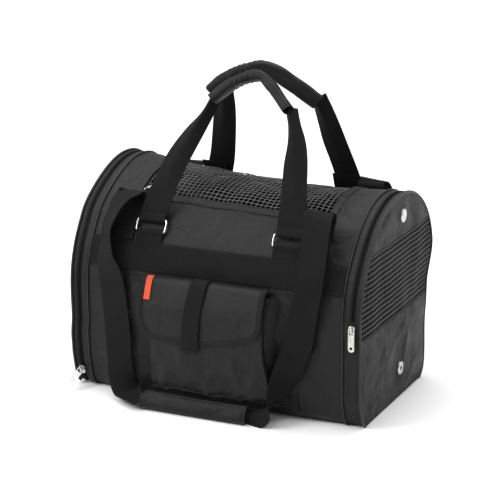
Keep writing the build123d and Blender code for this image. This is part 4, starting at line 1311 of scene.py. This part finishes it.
# ---- studio ---------------------------------------------------------------------------
def build_studio():
    paper, tree, shader = blank("paper", specular=0.2)
    tone = blend_colours(tree, noise(tree, 6.0), grey(0.88, 1.0), grey(0.90, 1.0))
    tree.links.new(tone, shader.inputs["Base Color"])
    shader.inputs["Roughness"].default_value = 0.75
    mesh = bpy.data.meshes.new("floor")
    reach = 9.0
    mesh.from_pydata([(-reach, -reach, -0.0006), (reach, -reach, -0.0006), (reach, reach, -0.0006),
                      (-reach, reach, -0.0006)], [], [(0, 1, 2, 3)])
    mesh.materials.append(paper)
    floor = bpy.data.objects.new("floor", mesh)
    bpy.context.collection.objects.link(floor)

    world = bpy.data.worlds.new("studio")
    bpy.context.scene.world = world
    world.use_nodes = True
    back = world.node_tree.nodes["Background"]
    back.inputs["Color"].default_value = (1.0, 1.0, 1.0, 1.0)
    back.inputs["Strength"].default_value = 0.36
    dome = bpy.data.lights.new("dome", "SUN")
    dome.energy = 3.3
    dome.angle = math.radians(95.0)
    sky = bpy.data.objects.new("dome", dome)
    sky.rotation_euler = (math.radians(6.0), math.radians(-14.0), 0.0)
    bpy.context.collection.objects.link(sky)
    for name, place, size, power in (("key", (-1.3, -1.5, 1.5), 0.8, 24.0), ("top", (0.2, 0.9, 2.1), 1.2, 16.0)):
        light = bpy.data.lights.new(name, "AREA")
        light.shape = "SQUARE"
        light.size = size
        light.energy = power
        lamp = bpy.data.objects.new(name, light)
        bpy.context.collection.objects.link(lamp)
        lamp.location = place
        aim = np.array([0.0, 0.0, 0.15]) - np.array(place)
        lamp.rotation_euler = look_along(aim)


def look_along(aim):
    """Rotation that turns a light's or camera's -Z along aim, with its top up."""
    from mathutils import Vector
    return Vector(aim).to_track_quat("-Z", "Y").to_euler()


AZIMUTH = math.radians(24.0)
ELEVATION = math.radians(16.1)
DISTANCE = 2.944
TARGET = np.array([-0.020, 0.033, 0.184])


def build_camera():
    lens = bpy.data.cameras.new("camera")
    lens.lens = 144.0
    lens.sensor_width = 36.0
    camera = bpy.data.objects.new("camera", lens)
    bpy.context.collection.objects.link(camera)
    back = np.array([math.sin(AZIMUTH) * math.cos(ELEVATION), -math.cos(AZIMUTH) * math.cos(ELEVATION),
                     math.sin(ELEVATION)])
    camera.location = TARGET + back * DISTANCE
    camera.rotation_euler = look_along(-back)
    bpy.context.scene.camera = camera
    bpy.context.scene.view_settings.view_transform = "Standard"


# ---- everything -----------------------------------------------------------------------
build_camera()
build_studio()
build_cabin()
build_top_net()
belt_piece("belt_front", 1)
belt_piece("belt_rear", -1)
build_seam_piping()
build_left_end()
build_right_end()
build_rings()
build_ring_tabs()
build_handle(-1, "front_handle", -18.0, 464.0, FRONT_LEGS, FRONT_GRIP, 15.0, 24.0, 62.0, 0.34)
build_handle(1, "rear_handle", 14.0, 472.0, REAR_LEGS, REAR_GRIP, 27.0, 13.0, 38.0, 0.36)
build_strap(-1, "front_strap")
build_strap(1, "rear_strap")
build_pocket()
build_flap()
build_inside()
finish_fittings()
